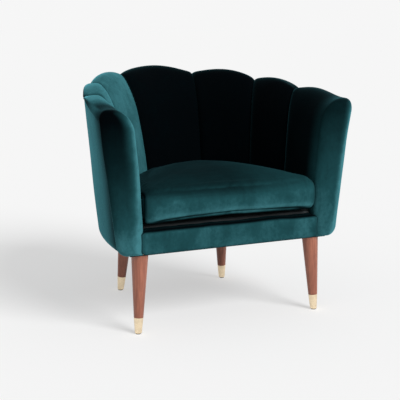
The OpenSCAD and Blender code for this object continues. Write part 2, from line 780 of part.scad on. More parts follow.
// Seat webbing, which ends on an oval inside the channels
strap_inset = 12;
strap_a = tub_w / 2 - channel_bulge - strap_inset;
strap_b = tub_d - channel_bulge - strap_inset;
long_count = 5;
cross_count = 5;
function strap_far_y(x) = centre_y + strap_b * sqrt(max(0, 1 - pow(x / strap_a, 2)));
function strap_half_x(y) = strap_a * sqrt(max(0, 1 - pow(max(0, y - centre_y) / strap_b, 2)));
module seat_webbing_long() {
    pitch = 2 * strap_a / long_count;
    front = seat_front_y + fit;
    color([0.25, 0.25, 0.25]) for (i = [0:long_count - 1]) {
        x = (i - (long_count - 1) / 2) * pitch;
        translate([x - strap_w / 2, front, deck_z])
            cube([strap_w, strap_far_y(abs(x) + strap_w / 2) - front, strap_t]);
    }
}
module seat_webbing_cross() {
    front = seat_front_y + fit;
    pitch = (strap_far_y(0) - front - strap_w / 2) / cross_count;
    color([0.25, 0.25, 0.25]) for (i = [0:cross_count - 1]) {
        y = front + i * pitch;
        half = strap_half_x(y + strap_w);
        translate([-half, y, deck_z + strap_t + fit]) cube([2 * half, strap_w, strap_t]);
    }
}

// The pad and the cloth on the webbing, and the dust cover
deck_gap = 1.5;
deck_radii = [for (i = [0:plan_steps]) valley_r(plan_angle(i), strap_top) - channel_bulge - deck_gap];
module deck_pad() {
    color([0.85, 0.82, 0.74]) slab(strap_top, deck_pad_t, around(deck_radii, seat_front_y + fit));
}
module deck_cloth() {
    color([0.12, 0.20, 0.22])
        slab(strap_top + deck_pad_t, deck_cloth_t, around(deck_radii, seat_front_y + fit));
}
module dust_cover() {
    color([0.10, 0.10, 0.10]) difference() {
        slab(underside_h, dust_t - fit, around(base_radii(), rail_front_y));
        on_bolts() cylinder(h = underside_h, d = nut_d, center = true, $fn = round_fn);
    }
}

// The cushion: a crowned top, boxed sides drawn in at the middle, and a round front
cushion_z = deck_top + fit;
cushion_a = tub_w / 2 - channel_bulge - cushion_gap;
cushion_b = tub_d - channel_bulge - cushion_gap;
cushion_nose = nose_d + cushion_front;
cushion_mid_y = centre_y + cushion_b / 2 - cushion_nose / 2;
cushion_points = 56;
front_spread = 12;
corner_n = 4.5;
crown_n = 3.2;
side_n = 4.5;
round_n = 2;
edge_band = cushion_h / 2;
// Front share: 1 in the middle of the front edge, 0 on the sides and the back
function front_share(w) = sqrt(max(0, -cos(w)));
// A point of the outline: the angle 0 is the middle of the back, 180 the middle of the front
function outline_at(w) = cos(w) >= 0
    ? [cushion_a * sin(w), centre_y + cushion_b * cos(w)]
    : [
        (cushion_a + front_spread * front_share(w)) * signed_pow(sin(w), 2 / corner_n),
        centre_y + cushion_nose * signed_pow(cos(w), 2 / corner_n)
    ];
function cushion_ring(turn, inset_share, lift) = [
    for (i = [0:cushion_points - 1])
        let (
            w = 360 * i / cushion_points,
            n = mix(side_n, round_n, front_share(w)),
            p = outline_at(w) - [0, cushion_mid_y],
            band = edge_band * (1 - pow(cos(turn), 2 / n)),
            share = (1 - band / norm(p)) * inset_share,
            side = signed_pow(sin(turn), 2 / n)
        )
        [p[0] * share, cushion_mid_y + p[1] * share, cushion_z + cushion_h / 2 * (1 + side) + lift]
];
base_share = 0.5;
top_shares = [0.88, 0.74, 0.56, 0.36, 0.14];
edge_turns = [-90, -70, -48, -26, 0, 26, 48, 70, 90];
module cushion_shape() {
    skin(concat(
        [cushion_ring(-90, base_share, 0)],
        [for (turn = edge_turns) cushion_ring(turn, 1, 0)],
        [for (share = top_shares) cushion_ring(90, share, crown_h * (1 - pow(share, crown_n)))]
    ));
}

// The foam block inside the cushion's cover
foam_inset = 12;
module foam_block(gap) {
    outline = [
        for (i = [0:cushion_points - 1])
            let (
                p = outline_at(360 * i / cushion_points) - [0, cushion_mid_y],
                share = 1 - (edge_band - gap) / norm(p)
            )
            [p[0] * share, cushion_mid_y + p[1] * share]
    ];
    slab(cushion_z + foam_inset - gap, cushion_h - 2 * (foam_inset - gap), outline);
}
module cushion_foam() { color([0.90, 0.86, 0.72]) foam_block(0); }
module cushion_cover() {
    color([0.20, 0.42, 0.45]) difference() {
        cushion_shape();
        foam_block(fit);
    }
}

centre_channel();
left_back_channel();
right_back_channel();
left_side_channel();
right_side_channel();
left_arm_channel();
right_arm_channel();
left_outside_cover();
back_outside_cover();
right_outside_cover();
front_rail_cover();
cushion_cover();
cushion_foam();
deck_cloth();
deck_pad();
dust_cover();
base_frame();
seat_ring();
corner_blocks();
front_rail();
left_arm_post();
right_arm_post();
left_side_rib();
right_side_rib();
left_corner_rib();
right_corner_rib();
left_back_rib();
right_back_rib();
mid_rails();
top_rail();
outside_board();
back_webbing();
seat_webbing_long();
seat_webbing_cross();
front_left_leg();
front_right_leg();
back_left_leg();
back_right_leg();
front_left_cap();
front_right_cap();
back_left_cap();
back_right_cap();
foot_glides();
leg_bolts();
tee_nuts();
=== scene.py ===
"""Looks of the tub chair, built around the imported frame.

The shape formulas are in millimetres, as in the frame's source, and the meshes in metres.
"""

import bmesh
import bpy
import numpy as np
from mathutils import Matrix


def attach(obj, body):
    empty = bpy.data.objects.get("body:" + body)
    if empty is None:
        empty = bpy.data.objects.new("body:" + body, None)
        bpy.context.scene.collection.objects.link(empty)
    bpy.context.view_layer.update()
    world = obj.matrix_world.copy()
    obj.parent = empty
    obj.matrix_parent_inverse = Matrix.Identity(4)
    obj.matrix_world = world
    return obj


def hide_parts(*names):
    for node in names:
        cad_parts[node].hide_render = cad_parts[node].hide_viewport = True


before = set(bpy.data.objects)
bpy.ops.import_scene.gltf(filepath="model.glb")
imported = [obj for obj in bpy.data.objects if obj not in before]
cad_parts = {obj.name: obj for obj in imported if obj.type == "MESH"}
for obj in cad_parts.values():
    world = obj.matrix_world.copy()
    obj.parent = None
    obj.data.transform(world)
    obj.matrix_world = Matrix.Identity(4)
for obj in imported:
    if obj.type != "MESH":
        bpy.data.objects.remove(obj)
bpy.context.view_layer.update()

MM = 0.001
RIGHT = np.pi / 2

# Sizes of the shell, as in the frame
OVERALL_D = 700
OVERALL_H = 729
OVERALL_W = 808
ARM_H = 657
BASE_W = 700
BASE_D = 540
UNDERSIDE_H = 234
TUB_W = 592
TUB_D = 430
SIDE_LEAN = 20
BACK_LEAN = 73
ROLL_H = 585
CREST_W = 704
CREST_D = 620
CENTRE_ANGLE = 25.4
BACK_ANGLE = 22.4
SIDE_ANGLE = 21.7
BULGE = 18
CENTRE_RISE = 21
ARM_RISE = 13
PAD_T = 24
LIP_DROP = 13
ARM_LIP_DROP = 36
LIP_TURN = np.radians(66)
ARM_CREST_OUT = 22
ARM_PEAK = 0.36
LIP_PROUD = 5
LIP_N = 0.8
NOSE_D = 25
NOSE_PAD = 16
NOSE_FALL = 14
COVER_T = 5
LOWER_R = 30
LOW_N = 2.3
HIGH_N = 1.78
SWELL_N = 0.8
SKIN_GAP = 1.2

# Sizes of the seat, as in the frame
CUSHION_FRONT = 25
CUSHION_H = 108
CROWN_H = 24
CUSHION_GAP = 1.5
RAIL_COVER_H = 74
RAIL_PAD = 9
PLY_T = 18
COVER_Z = 235
DECK_Z = 295
STRAP_TOP = 298.5
DECK_PAD_T = 16
DECK_TOP = 315.5
CUSHION_Z = 315.8
DECK_GAP = 1.5
TURN_W = 15

# Heights and places that follow from them
FOOT_Z = DECK_Z + 0.3
BACK_TOP = OVERALL_H - CENTRE_RISE
ARM_FRONT_Y = -OVERALL_D / 2 + CUSHION_FRONT
CENTRE_Y = ARM_FRONT_Y + NOSE_D
RAIL_FRONT_Y = ARM_FRONT_Y + NOSE_PAD
SEAT_FRONT_Y = RAIL_FRONT_Y + PLY_T + RAIL_PAD
SHELL_BACK_R = OVERALL_D / 2 - CENTRE_Y - LIP_PROUD
LOW_A = BASE_W / 2
HIGH_A = OVERALL_W / 2 - LIP_PROUD
SEAMS = np.radians(CENTRE_ANGLE / 2 + np.array([0, BACK_ANGLE, BACK_ANGLE + SIDE_ANGLE]))
SEAMS = np.append(SEAMS, RIGHT)

# How the cloth lies on the pads
CREASE = 5.0
CREASE_W = 5.5
CREASE_N = 1.3
PUCKER = 0.9
PUCKER_W = 9.0
PUCKER_STEP = 15.0
PUCKER_START = 3
PUCKER_SLANT = 0.05
PUCKER_DRIFT = 1.6
DRIFT_RUN = 41
FADE_RUN = 67
SEAM_SEED = 9
SEED_PHASE = 2.1
SOFT = 1.4
SOFT_LENGTH = 150.0
SOFT_START = 20
EDGE_AT = 6
EDGE_W = 3.5
SHADE_W = 9
WAVE_COUNT = 14


def mix(a, b, t):
    return a + (b - a) * t


def unit(t):
    return np.clip(t, 0, 1)


def smooth(t):
    t = unit(t)
    return t * t * (3 - 2 * t)


def ramp(value, start, end):
    """A smooth way from 0 at one value to 1 at another."""
    return smooth((value - start) / (end - start))


def near(gap, width):
    """1 on a line and 0 well away from it."""
    return np.exp(-((gap / width) ** 2))


def oval(phi, a, b, n=2.0):
    """Radius of an oval at an angle from +Y."""
    return ((np.abs(np.sin(phi)) / a) ** n + (np.abs(np.cos(phi)) / b) ** n) ** (-1 / n)


def valley_r(phi, z):
    share = unit((z - UNDERSIDE_H) / (ROLL_H - UNDERSIDE_H)) ** 2
    return oval(phi, TUB_W / 2 + SIDE_LEAN * share, TUB_D + BACK_LEAN * share)


def outside_r(phi, z):
    side = (z - UNDERSIDE_H) / (ARM_H - ARM_LIP_DROP - UNDERSIDE_H)
    back = (z - UNDERSIDE_H) / (OVERALL_H - LIP_DROP - UNDERSIDE_H)
    return oval(phi, mix(LOW_A, HIGH_A, side), mix(BASE_D, SHELL_BACK_R, back), mix(LOW_N, HIGH_N, back))


def arm_share(phi):
    """Share of an arm channel, from its seam to the arms' widest line."""
    return unit((np.abs(phi) - SEAMS[2]) / (RIGHT - SEAMS[2]))


def arm_arch(share):
    """Share of an arm channel's rise, which falls off again towards the arm front."""
    climb = np.sin(RIGHT * np.minimum(share / ARM_PEAK, 1))
    fall = (1 + np.cos(np.pi * (share - ARM_PEAK) / (1 - ARM_PEAK))) / 2
    return np.where(share < ARM_PEAK, climb, fall)


def crest_r(phi):
    return oval(phi, CREST_W / 2, CREST_D) + ARM_CREST_OUT * np.sin(RIGHT * unit(2 * arm_share(phi)))


def lip_drop(phi):
    return mix(LIP_DROP, ARM_LIP_DROP, unit((np.abs(phi) - LIP_TURN) / (RIGHT - LIP_TURN)))


def valley_top(phi):
    return mix(BACK_TOP, ARM_H, np.sin(phi) ** 2)


def rise(phi):
    return mix(CENTRE_RISE, ARM_RISE, np.sin(phi) ** 2)


def nose_share(t):
    return np.sqrt(1 - unit(t / NOSE_D) ** 2)


def nose_middle(z):
    level = np.minimum(z, ROLL_H)
    low = (valley_r(RIGHT, level) + outside_r(RIGHT, level)) / 2
    return mix(low, crest_r(RIGHT), unit((z - ROLL_H) / (ARM_H - ROLL_H)) ** 2)


def rounding(gap, radius):
    """How far a rounded edge draws in at a distance from the edge."""
    return radius * (1 - np.sqrt(1 - unit((radius - gap) / radius) ** 2))


def place(phi, t, r, z):
    return np.stack([r * np.sin(phi), CENTRE_Y - t + r * np.cos(phi), z + 0 * r], axis=-1)


def waves(points, length, seed):
    """Smooth noise, mostly between -1 and 1, with features of about a given length."""
    rng = np.random.default_rng(seed)
    total = np.zeros(points.shape[:-1])
    for _ in range(WAVE_COUNT):
        direction = rng.normal(size=3)
        direction *= 2 * np.pi / (length * rng.uniform(0.7, 1.6)) / np.linalg.norm(direction)
        total += np.sin(points @ direction + rng.uniform(0, 2 * np.pi))
    return total / np.sqrt(2 * WAVE_COUNT)


# Rows along a channel: up the inside, over the roll, and down the lip
INSIDE = np.linspace(0, 1, 74, endpoint=False)
ROLL = np.linspace(0, RIGHT, 34, endpoint=False)
LIP = RIGHT * (1 - (1 - np.linspace(0, 1, 24)) ** 1.5)
SLOPE_STEP = 5


def face(phi, t, swell, arch):
    """Radius and height of a channel's face, a column for each angle and a row for each step."""
    phi, t, swell, arch = (np.asarray(v, float).reshape(-1, 1) for v in (phi, t, swell, arch))
    top = valley_top(phi) + rise(phi) * arch - NOSE_FALL * (1 - nose_share(t))
    start = valley_r(phi, ROLL_H) - BULGE * swell
    slope = (valley_r(phi, ROLL_H) - valley_r(phi, ROLL_H - SLOPE_STEP)) / SLOPE_STEP
    inside_z = mix(FOOT_Z, ROLL_H, INSIDE)[None, :] + 0 * phi
    roll_z = mix(ROLL_H, top, np.sin(ROLL)[None, :])
    low = top - lip_drop(phi)
    out = outside_r(phi, low) + LIP_PROUD
    roll_r = mix(start, crest_r(phi), 1 - np.cos(ROLL)) + slope * (roll_z - ROLL_H) * np.cos(ROLL)
    r = [
        valley_r(phi, inside_z) - BULGE * swell,
        roll_r,
        mix(crest_r(phi), out, np.sin(LIP) ** LIP_N),
    ]
    z = [inside_z, roll_z, mix(low, top, np.abs(np.cos(LIP)) ** LIP_N)]
    return np.concatenate(r, axis=1), np.concatenate(z, axis=1)


def rear(phi, arch):
    """Radius and height of a channel's rear, which lies on the frame."""
    phi, arch = (np.asarray(v, float).reshape(-1, 1) for v in (phi, arch))
    flat = 0 * phi
    r, z = face(phi, flat, flat, flat)
    _, arched = face(phi, flat, flat, arch)
    a, b = len(INSIDE), len(INSIDE) + len(ROLL)
    r[:, :a] += PAD_T
    r[:, a:b] += PAD_T * np.cos(ROLL)
    z[:, a:b] -= PAD_T * np.sin(ROLL)
    r[:, b:] -= (COVER_T + LIP_PROUD) * np.sin(LIP)
    z[:, b:] = mix(z[:, b:] - PAD_T * np.cos(LIP), arched[:, -1:], np.sin(LIP) ** 2)
    return r, z


def normals_of(front, back):
    """Unit normals of a grid, pointing away from the grid behind it."""
    normal = np.cross(np.gradient(front, axis=0), np.gradient(front, axis=1))
    normal /= np.maximum(np.linalg.norm(normal, axis=-1, keepdims=True), 1e-9)
    away = np.sum(normal * (front - back), axis=-1, keepdims=True)
    return normal * np.where(away < 0, -1, 1)


def seam_cloth(front, gap, seed):
    """Puckers beside a seam, in millimetres out of the cloth."""
    steps = np.linalg.norm(np.diff(front, axis=1, prepend=front[:, :1]), axis=-1)
    run = np.cumsum(steps, axis=1)
    phase = seed * SEED_PHASE
    drift = PUCKER_DRIFT * np.sin(run / DRIFT_RUN + phase)
    beat = np.sin(2 * np.pi * run / PUCKER_STEP + drift + PUCKER_SLANT * gap)
    strength = 0.6 + 0.4 * np.sin(run / FADE_RUN + phase)
    return PUCKER * strength * beat * np.exp(-gap / PUCKER_W) * (1 - near(gap, PUCKER_START))


def dressed(front, back, gaps, seed):
    """The front grid with its seams drawn in, puckers beside them, and the cloth's softness."""
    normal = normals_of(front, back)
    inward = back - front
    inward /= np.maximum(np.linalg.norm(inward, axis=-1, keepdims=True), 1e-9)
    nearest = np.minimum.reduce([gap for gap, _ in gaps])
    out = SOFT * waves(front, SOFT_LENGTH, seed) * (1 - near(nearest, SOFT_START))
    for gap, seam_seed in gaps:
        out = out + seam_cloth(front, gap, seam_seed)
    crease = CREASE * np.exp(-((nearest / CREASE_W) ** CREASE_N))
    return front + normal * out[..., None] + inward * crease[..., None], nearest


def quads(index):
    """The faces of a grid of vertex numbers."""
    return np.stack(
        [index[:-1, :-1], index[1:, :-1], index[1:, 1:], index[:-1, 1:]], axis=-1
    ).reshape(-1, 4)


def strip(one, other):
    return quads(np.stack([one, other]))


def closed_shell(front, back):
    """Points and faces of a closed mesh between two grids."""
    index = np.arange(front[..., 0].size).reshape(front.shape[:2])
    behind = index + index.size
    faces = [quads(index), quads(behind)[:, ::-1]]
    for cut in (np.s_[0, :], np.s_[-1, :], np.s_[:, 0], np.s_[:, -1]):
        faces.append(strip(index[cut], behind[cut]))
    points = np.concatenate([front.reshape(-1, 3), back.reshape(-1, 3)])
    return points, [tuple(f) for f in np.concatenate(faces).tolist()]


def mesh_object(name, points, faces):
    """A mesh object from points in millimetres, its faces turned to look outwards."""
    mesh = bpy.data.meshes.new(name)
    mesh.from_pydata((np.asarray(points) * MM).tolist(), [], faces)
    work = bmesh.new()
    work.from_mesh(mesh)
    bmesh.ops.recalc_face_normals(work, faces=work.faces)
    work.to_mesh(mesh)
    work.free()
    mesh.polygons.foreach_set("use_smooth", [True] * len(mesh.polygons))
    obj = bpy.data.objects.new(name, mesh)
    bpy.context.scene.collection.objects.link(obj)
    return obj


def ring_mesh(name, rings):
    """A closed mesh from rings of points, with a flat face on the first and the last ring."""
    index = np.arange(rings[..., 0].size).reshape(rings.shape[:2])
    looped = np.concatenate([index, index[:, :1]], axis=1)
    faces = [tuple(f) for f in quads(looped).tolist()]
    faces += [tuple(index[0].tolist()), tuple(index[-1].tolist())]
    return mesh_object(name, rings.reshape(-1, 3), faces)


def vectors_of(obj, key):
    """The points ("co") or the normals ("normal") of a mesh, a row for each vertex."""
    values = np.zeros(len(obj.data.vertices) * 3)
    obj.data.vertices.foreach_get(key, values)
    return values.reshape(-1, 3)


def finish_piece(obj, mat, body, slot, *nodes):
    """Gives a piece its material and its body, and hides the frame nodes that it stands for. Its slot is
    not used.
    """
    obj.data.materials.clear()
    obj.data.materials.append(mat)
    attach(obj, body)
    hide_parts(*nodes)
    return obj


def keep_field(obj, name, values):
    """Stores a number for each vertex, which the material reads."""
    field = obj.data.attributes.new(name, "FLOAT", "POINT")
    field.data.foreach_set("value", np.asarray(values, np.float32).ravel())


def lay_painted_light(obj, tone):
    """Stores painted light and shade for each vertex, from a function of the points in millimetres and
    their normals.
    """
    keep_field(obj, "painted_light", unit(tone(vectors_of(obj, "co") / MM, vectors_of(obj, "normal"))))


SHARP = 50


def hard_edges(obj, degrees=SHARP):
    """Keeps the corners of a smooth mesh crisp."""
    obj.data.set_sharp_from_angle(angle=np.radians(degrees))


# Materials
class Net:
    """A material's node tree, with short calls for the nodes that are used here."""

    def __init__(self, name):
        self.mat = bpy.data.materials.new(name)
        self.mat.use_nodes = True
        self.tree = self.mat.node_tree
        self.shader = self.tree.nodes["Principled BSDF"]
        self.object = self.node("ShaderNodeTexCoord").outputs["Object"]

    def node(self, kind, **settings):
        made = self.tree.nodes.new(kind)
        for key, value in settings.items():
            setattr(made, key, value)
        return made

    def link(self, source, target):
        self.tree.links.new(source, target)

    def put(self, socket, value):
        if isinstance(value, bpy.types.NodeSocket):
            self.link(value, socket)
        else:
            socket.default_value = value

    def scaled(self, scale):
        made = self.node("ShaderNodeMapping")
        self.link(self.object, made.inputs["Vector"])
        made.inputs["Scale"].default_value = scale
        return made.outputs["Vector"]

    def noise(self, scale, detail, roughness, distortion=0.0, vector=None):
        made = self.node("ShaderNodeTexNoise")
        self.link(vector or self.object, made.inputs["Vector"])
        for key, value in (
            ("Scale", scale), ("Detail", detail), ("Roughness", roughness), ("Distortion", distortion)
        ):
            made.inputs[key].default_value = value
        return made.outputs["Fac"]

    def axes(self):
        made = self.node("ShaderNodeSeparateXYZ")
        self.link(self.object, made.inputs[0])
        return made.outputs

    def math(self, operation, a, b=0.0):
        made = self.node("ShaderNodeMath", operation=operation)
        for socket, value in zip(made.inputs, (a, b)):
            self.put(socket, value)
        return made.outputs[0]

    def mixed(self, share, one, other):
        """One value times its share, and the other times what is left of 1."""
        rest = self.math("MULTIPLY", other, 1 - share)
        return self.math("ADD", self.math("MULTIPLY", one, share), rest)

    def ranged(self, value, low, high, to_low=0.0, to_high=1.0):
        made = self.node("ShaderNodeMapRange")
        for key, v in (
            ("Value", value), ("From Min", low), ("From Max", high), ("To Min", to_low), ("To Max", to_high)
        ):
            self.put(made.inputs[key], v)
        return made.outputs["Result"]

    def blend(self, factor, one, other):
        made = self.node("ShaderNodeMix", data_type="RGBA")
        self.put(made.inputs["Factor"], factor)
        for socket, colour in zip([s for s in made.inputs if s.type == "RGBA"], (one, other)):
            self.put(socket, (*colour, 1) if isinstance(colour, tuple) else colour)
        return [s for s in made.outputs if s.type == "RGBA"][0]

    def attribute(self, name):
        return self.node("ShaderNodeAttribute", attribute_name=name).outputs["Fac"]

    def bump(self, height, distance, strength):
        made = self.node("ShaderNodeBump")
        made.inputs["Strength"].default_value = strength
        made.inputs["Distance"].default_value = distance
        self.link(height, made.inputs["Height"])
        return made.outputs["Normal"]

    def finish(self, **sockets):
        for key, value in sockets.items():
            socket = self.shader.inputs[key.replace("_", " ")]
            self.put(socket, (*value, 1) if isinstance(value, tuple) else value)
        return self.mat


# Scale, detail, roughness and distortion of the velvet's noises
PATCHES = (6.0, 3.0, 0.55, 1.2)
STROKES = (24.0, 4.0, 0.62, 0.9)
STROKE_SCALE = (1.0, 1.0, 0.45)
MOTTLE = (95.0, 3.0, 0.65, 0.5)
FIBRES = (1500.0, 2.0, 0.7, 0.0)
CREASE_SHADE = 0.15
DRIFT_SHARE = 0.34
DRIFT_LEAST = 0.01
# Strength of the painted highlight beside the seams
SEAM_HIGHLIGHT = 0.5

# Velvet tones from painted shade through half lit to painted light, picked by the painted light field
VELVET_SHADED = (0.0001, 0.0010, 0.0016)
VELVET_HALF_LIT = (0.0110, 0.0580, 0.0660)
VELVET_LIT = (0.0480, 0.1820, 0.2080)
SHEEN_TINT = (0.16, 0.60, 0.70)
SHEEN_ROUGH = 0.40


def velvet(name, sheen_front, sheen_side):
    """Cut pile. The painted light field is 0 for painted shade and 1 for painted light, and takes the base
    colour from the shaded to the lit tone.

    The sheen goes from its front to its side value as the cloth turns away from the eye, and it is weaker
    in the painted shade. Two equal values give the same sheen all over.
    """
    net = Net(name)
    patches = net.noise(*PATCHES)
    strokes = net.noise(*STROKES, net.scaled(STROKE_SCALE))
    mottle = net.noise(*MOTTLE)
    lean = net.mixed(0.5, patches, strokes)
    wide = net.ranged(lean, 0.38, 0.64, -0.5, 0.5)
    drift = net.math("ADD", wide, net.ranged(mottle, 0.33, 0.67, -0.2, 0.2))
    # Painted shade in the creases beside the seams
    shade = net.ranged(net.attribute("crease"), 0.0, 1.0, 1.0, CREASE_SHADE)
    painted_light = net.math("MULTIPLY", net.attribute("painted_light"), shade)
    spread = net.math("ADD", net.math("MULTIPLY", painted_light, DRIFT_SHARE), DRIFT_LEAST)
    tone = net.math("ADD", painted_light, net.math("MULTIPLY", drift, spread))
    # Base colour from painted shade to painted light, with a little random drift
    low = net.blend(net.ranged(tone, 0.0, 0.5), VELVET_SHADED, VELVET_HALF_LIT)
    ground = net.blend(net.ranged(tone, 0.5, 1.0), low, VELVET_LIT)
    # Painted highlight beside the seams, towards the lit tone
    seam_highlight = net.math("MULTIPLY", net.attribute("edge"), net.math("MULTIPLY", painted_light, SEAM_HIGHLIGHT))
    colour = net.blend(net.ranged(seam_highlight, 0.0, 1.0), ground, VELVET_LIT)
    sheen = sheen_front
    if sheen_side != sheen_front:
        facing = net.node("ShaderNodeLayerWeight").outputs["Facing"]
        sheen = net.ranged(facing, 0.35, 0.80, sheen_front, sheen_side)
        sheen = net.math("MULTIPLY", sheen, net.ranged(painted_light, 0.0, 0.4, 0.25, 1.0))
    height = net.mixed(0.4, net.noise(*FIBRES), mottle)
    return net.finish(
        Base_Color=colour,
        Roughness=net.ranged(lean, 0.3, 0.7, 0.8, 0.96),
        Specular_IOR_Level=0.02,
        Sheen_Weight=sheen,
        Sheen_Roughness=SHEEN_ROUGH,
        Sheen_Tint=SHEEN_TINT,
        Normal=net.bump(height, distance=0.0008, strength=0.6),
    )


GRAIN_SCALE = (26.0, 26.0, 2.2)
PORE_SCALE = (18.0, 18.0, 0.9)
PORE_DARK = 0.45


def wood(name, dark, light, rough=0.36):
    """Timber with a fine straight grain and open pores."""
    net = Net(name)
    run = net.scaled(GRAIN_SCALE)
    bend = net.noise(1.6, 3.0, 0.5, 1.2, run)
    lines = net.noise(9.0, 4.0, 0.65, 0.6, run)
    pores = net.noise(60.0, 2.0, 0.7, 0.0, net.scaled(PORE_SCALE))
    colour = net.blend(net.ranged(net.mixed(0.55, bend, lines), 0.35, 0.68), dark, light)
    pore = tuple(PORE_DARK * c for c in dark)
    colour = net.blend(net.ranged(pores, 0.56, 0.7, 0.0, 0.35), colour, pore)
    height = net.math("SUBTRACT", lines, net.math("MULTIPLY", pores, 0.5))
    return net.finish(
        Base_Color=colour,
        Roughness=net.ranged(lines, 0.3, 0.7, rough, rough + 0.16),
        Coat_Weight=0.18,
        Coat_Roughness=0.32,
        Normal=net.bump(height, distance=0.0003, strength=0.35),
    )


TURNED_SCALE = (40.0, 40.0, 900.0)
DULL = 0.82


def brushed(name, colour, rough):
    """Metal with a fine turned finish and faint handling marks."""
    net = Net(name)
    lines = net.noise(1.0, 2.0, 0.6, 0.0, net.scaled(TURNED_SCALE))
    marks = net.noise(60.0, 3.0, 0.6)
    dull = tuple(DULL * c for c in colour)
    return net.finish(
        Base_Color=net.blend(net.ranged(marks, 0.4, 0.7), colour, dull),
        Metallic=1.0,
        Roughness=net.ranged(marks, 0.3, 0.7, rough, rough + 0.14),
        Normal=net.bump(lines, distance=0.00008, strength=0.4),
    )


VENEER = 0.003
PLY_SCALE = (6.0, 60.0, 60.0)
PLY_DARK = (0.52, 0.36, 0.20)
PLY_LIGHT = (0.70, 0.53, 0.34)
PLY_GLUE = (0.34, 0.20, 0.10)


def plywood(name):
    """Birch ply: thin alternating layers on the edges and a pale wavy face."""
    net = Net(name)
    layers = net.math("SINE", net.math("MULTIPLY", net.axes()["Z"], 2 * np.pi / VENEER))
    grain = net.noise(3.0, 4.0, 0.6, 1.0, net.scaled(PLY_SCALE))
    ground = net.blend(net.ranged(grain, 0.35, 0.65), PLY_DARK, PLY_LIGHT)
    colour = net.blend(net.ranged(layers, -0.2, 0.4, 0.0, 0.3), ground, PLY_GLUE)
    return net.finish(
        Base_Color=colour,
        Roughness=net.ranged(grain, 0.3, 0.7, 0.55, 0.72),
        Normal=net.bump(grain, distance=0.0003, strength=0.3),
    )


def woven(name, dark, light, pitch):
    """Plain weave from two crossed waves, for straps, deck cloth and the dust cover."""
    net = Net(name)
    axes = net.axes()
    turns = 2 * np.pi / pitch
    warp = net.math("SINE", net.math("MULTIPLY", axes["X"], turns))
    along = net.math("ADD", axes["Y"], axes["Z"])
    weft = net.math("SINE", net.math("MULTIPLY", along, turns))
    weave = net.math("MULTIPLY", warp, weft)
    slub = net.noise(160.0, 3.0, 0.6)
    tone = net.math("ADD", net.math("MULTIPLY", weave, 0.3), slub)
    return net.finish(
        Base_Color=net.blend(net.ranged(tone, 0.2, 0.9), dark, light),
        Roughness=net.ranged(slub, 0.3, 0.7, 0.85, 0.95),
        Normal=net.bump(weave, distance=0.0003, strength=0.5),
    )


def cellular(name, dark, light, scale):
    """Foam, felt, board or rubber: fine cells with a little colour drift."""
    net = Net(name)
    cells = net.noise(scale, 3.0, 0.65)
    tone = net.mixed(0.6, cells, net.noise(12.0, 2.0, 0.5))
    return net.finish(
        Base_Color=net.blend(net.ranged(tone, 0.35, 0.65), dark, light),
        Roughness=net.ranged(cells, 0.3, 0.7, 0.75, 0.95),
        Normal=net.bump(cells, distance=0.0005, strength=0.4),
    )


# Channels
ACROSS = 44
ARM_ACROSS = 30


def hemmed(r, z):
    """The radii of a face, drawn in at the hem of its lip."""
    lip_rows = np.arange(z.shape[1]) >= len(INSIDE) + len(ROLL)
    return r - np.where(lip_rows, rounding(z - z[:, -1:], LIP_PROUD), 0)


def channel(name, low, high, seed):
    """A pad between two seams."""
    q = np.sin(np.linspace(-RIGHT, RIGHT, ACROSS + 1))
    phi = mix(low, high, (q + 1) / 2)
    arch = 1 - q * q
    r, z = face(phi, 0 * phi, arch ** SWELL_N, arch)
    r = hemmed(r, z)
    front = place(phi[:, None], 0, r, z)
    back = place(phi[:, None], 0, *rear(phi, arch))
    sides = ((phi - low, low), (high - phi, high))
    gaps = [(r * turn[:, None], seam * SEAM_SEED) for turn, seam in sides]
    front, nearest = dressed(front, back, gaps, seed)
    points, faces = closed_shell(front, back)
    obj = mesh_object(name, points, faces)
    seam_fields(obj, nearest.ravel(), np.arange(nearest.size))
    hard_edges(obj)
    return obj


def edge_light(gap):
    """A band a little way beside a seam, where a painted highlight goes and where the cushion's welt stands
    out.
    """
    return near(gap - EDGE_AT, EDGE_W)


def seam_fields(obj, gap, at, light=1.0):
    """Stores a painted highlight beside a seam, scaled by light, and painted shade in its crease."""
    for name, values in (("edge", light * edge_light(gap)), ("crease", near(gap, SHADE_W))):
        field = np.zeros(len(obj.data.vertices))
        field[at] = values
        keep_field(obj, name, field)


NOSE_TURNS = np.radians(
    np.concatenate([np.linspace(0, 12, 7), np.linspace(17, 77, 17), [81, 84.5, 87, 89]])
)
NOSE_AXIS_H = ROLL_H - 30
FOOT_ROWS = 12
OUTER_ROWS = 60
CORNER_ROWS = 10
FOOT_LIFT = 15.0
LIFT_H = 70.0
ARM_SHARP = 60


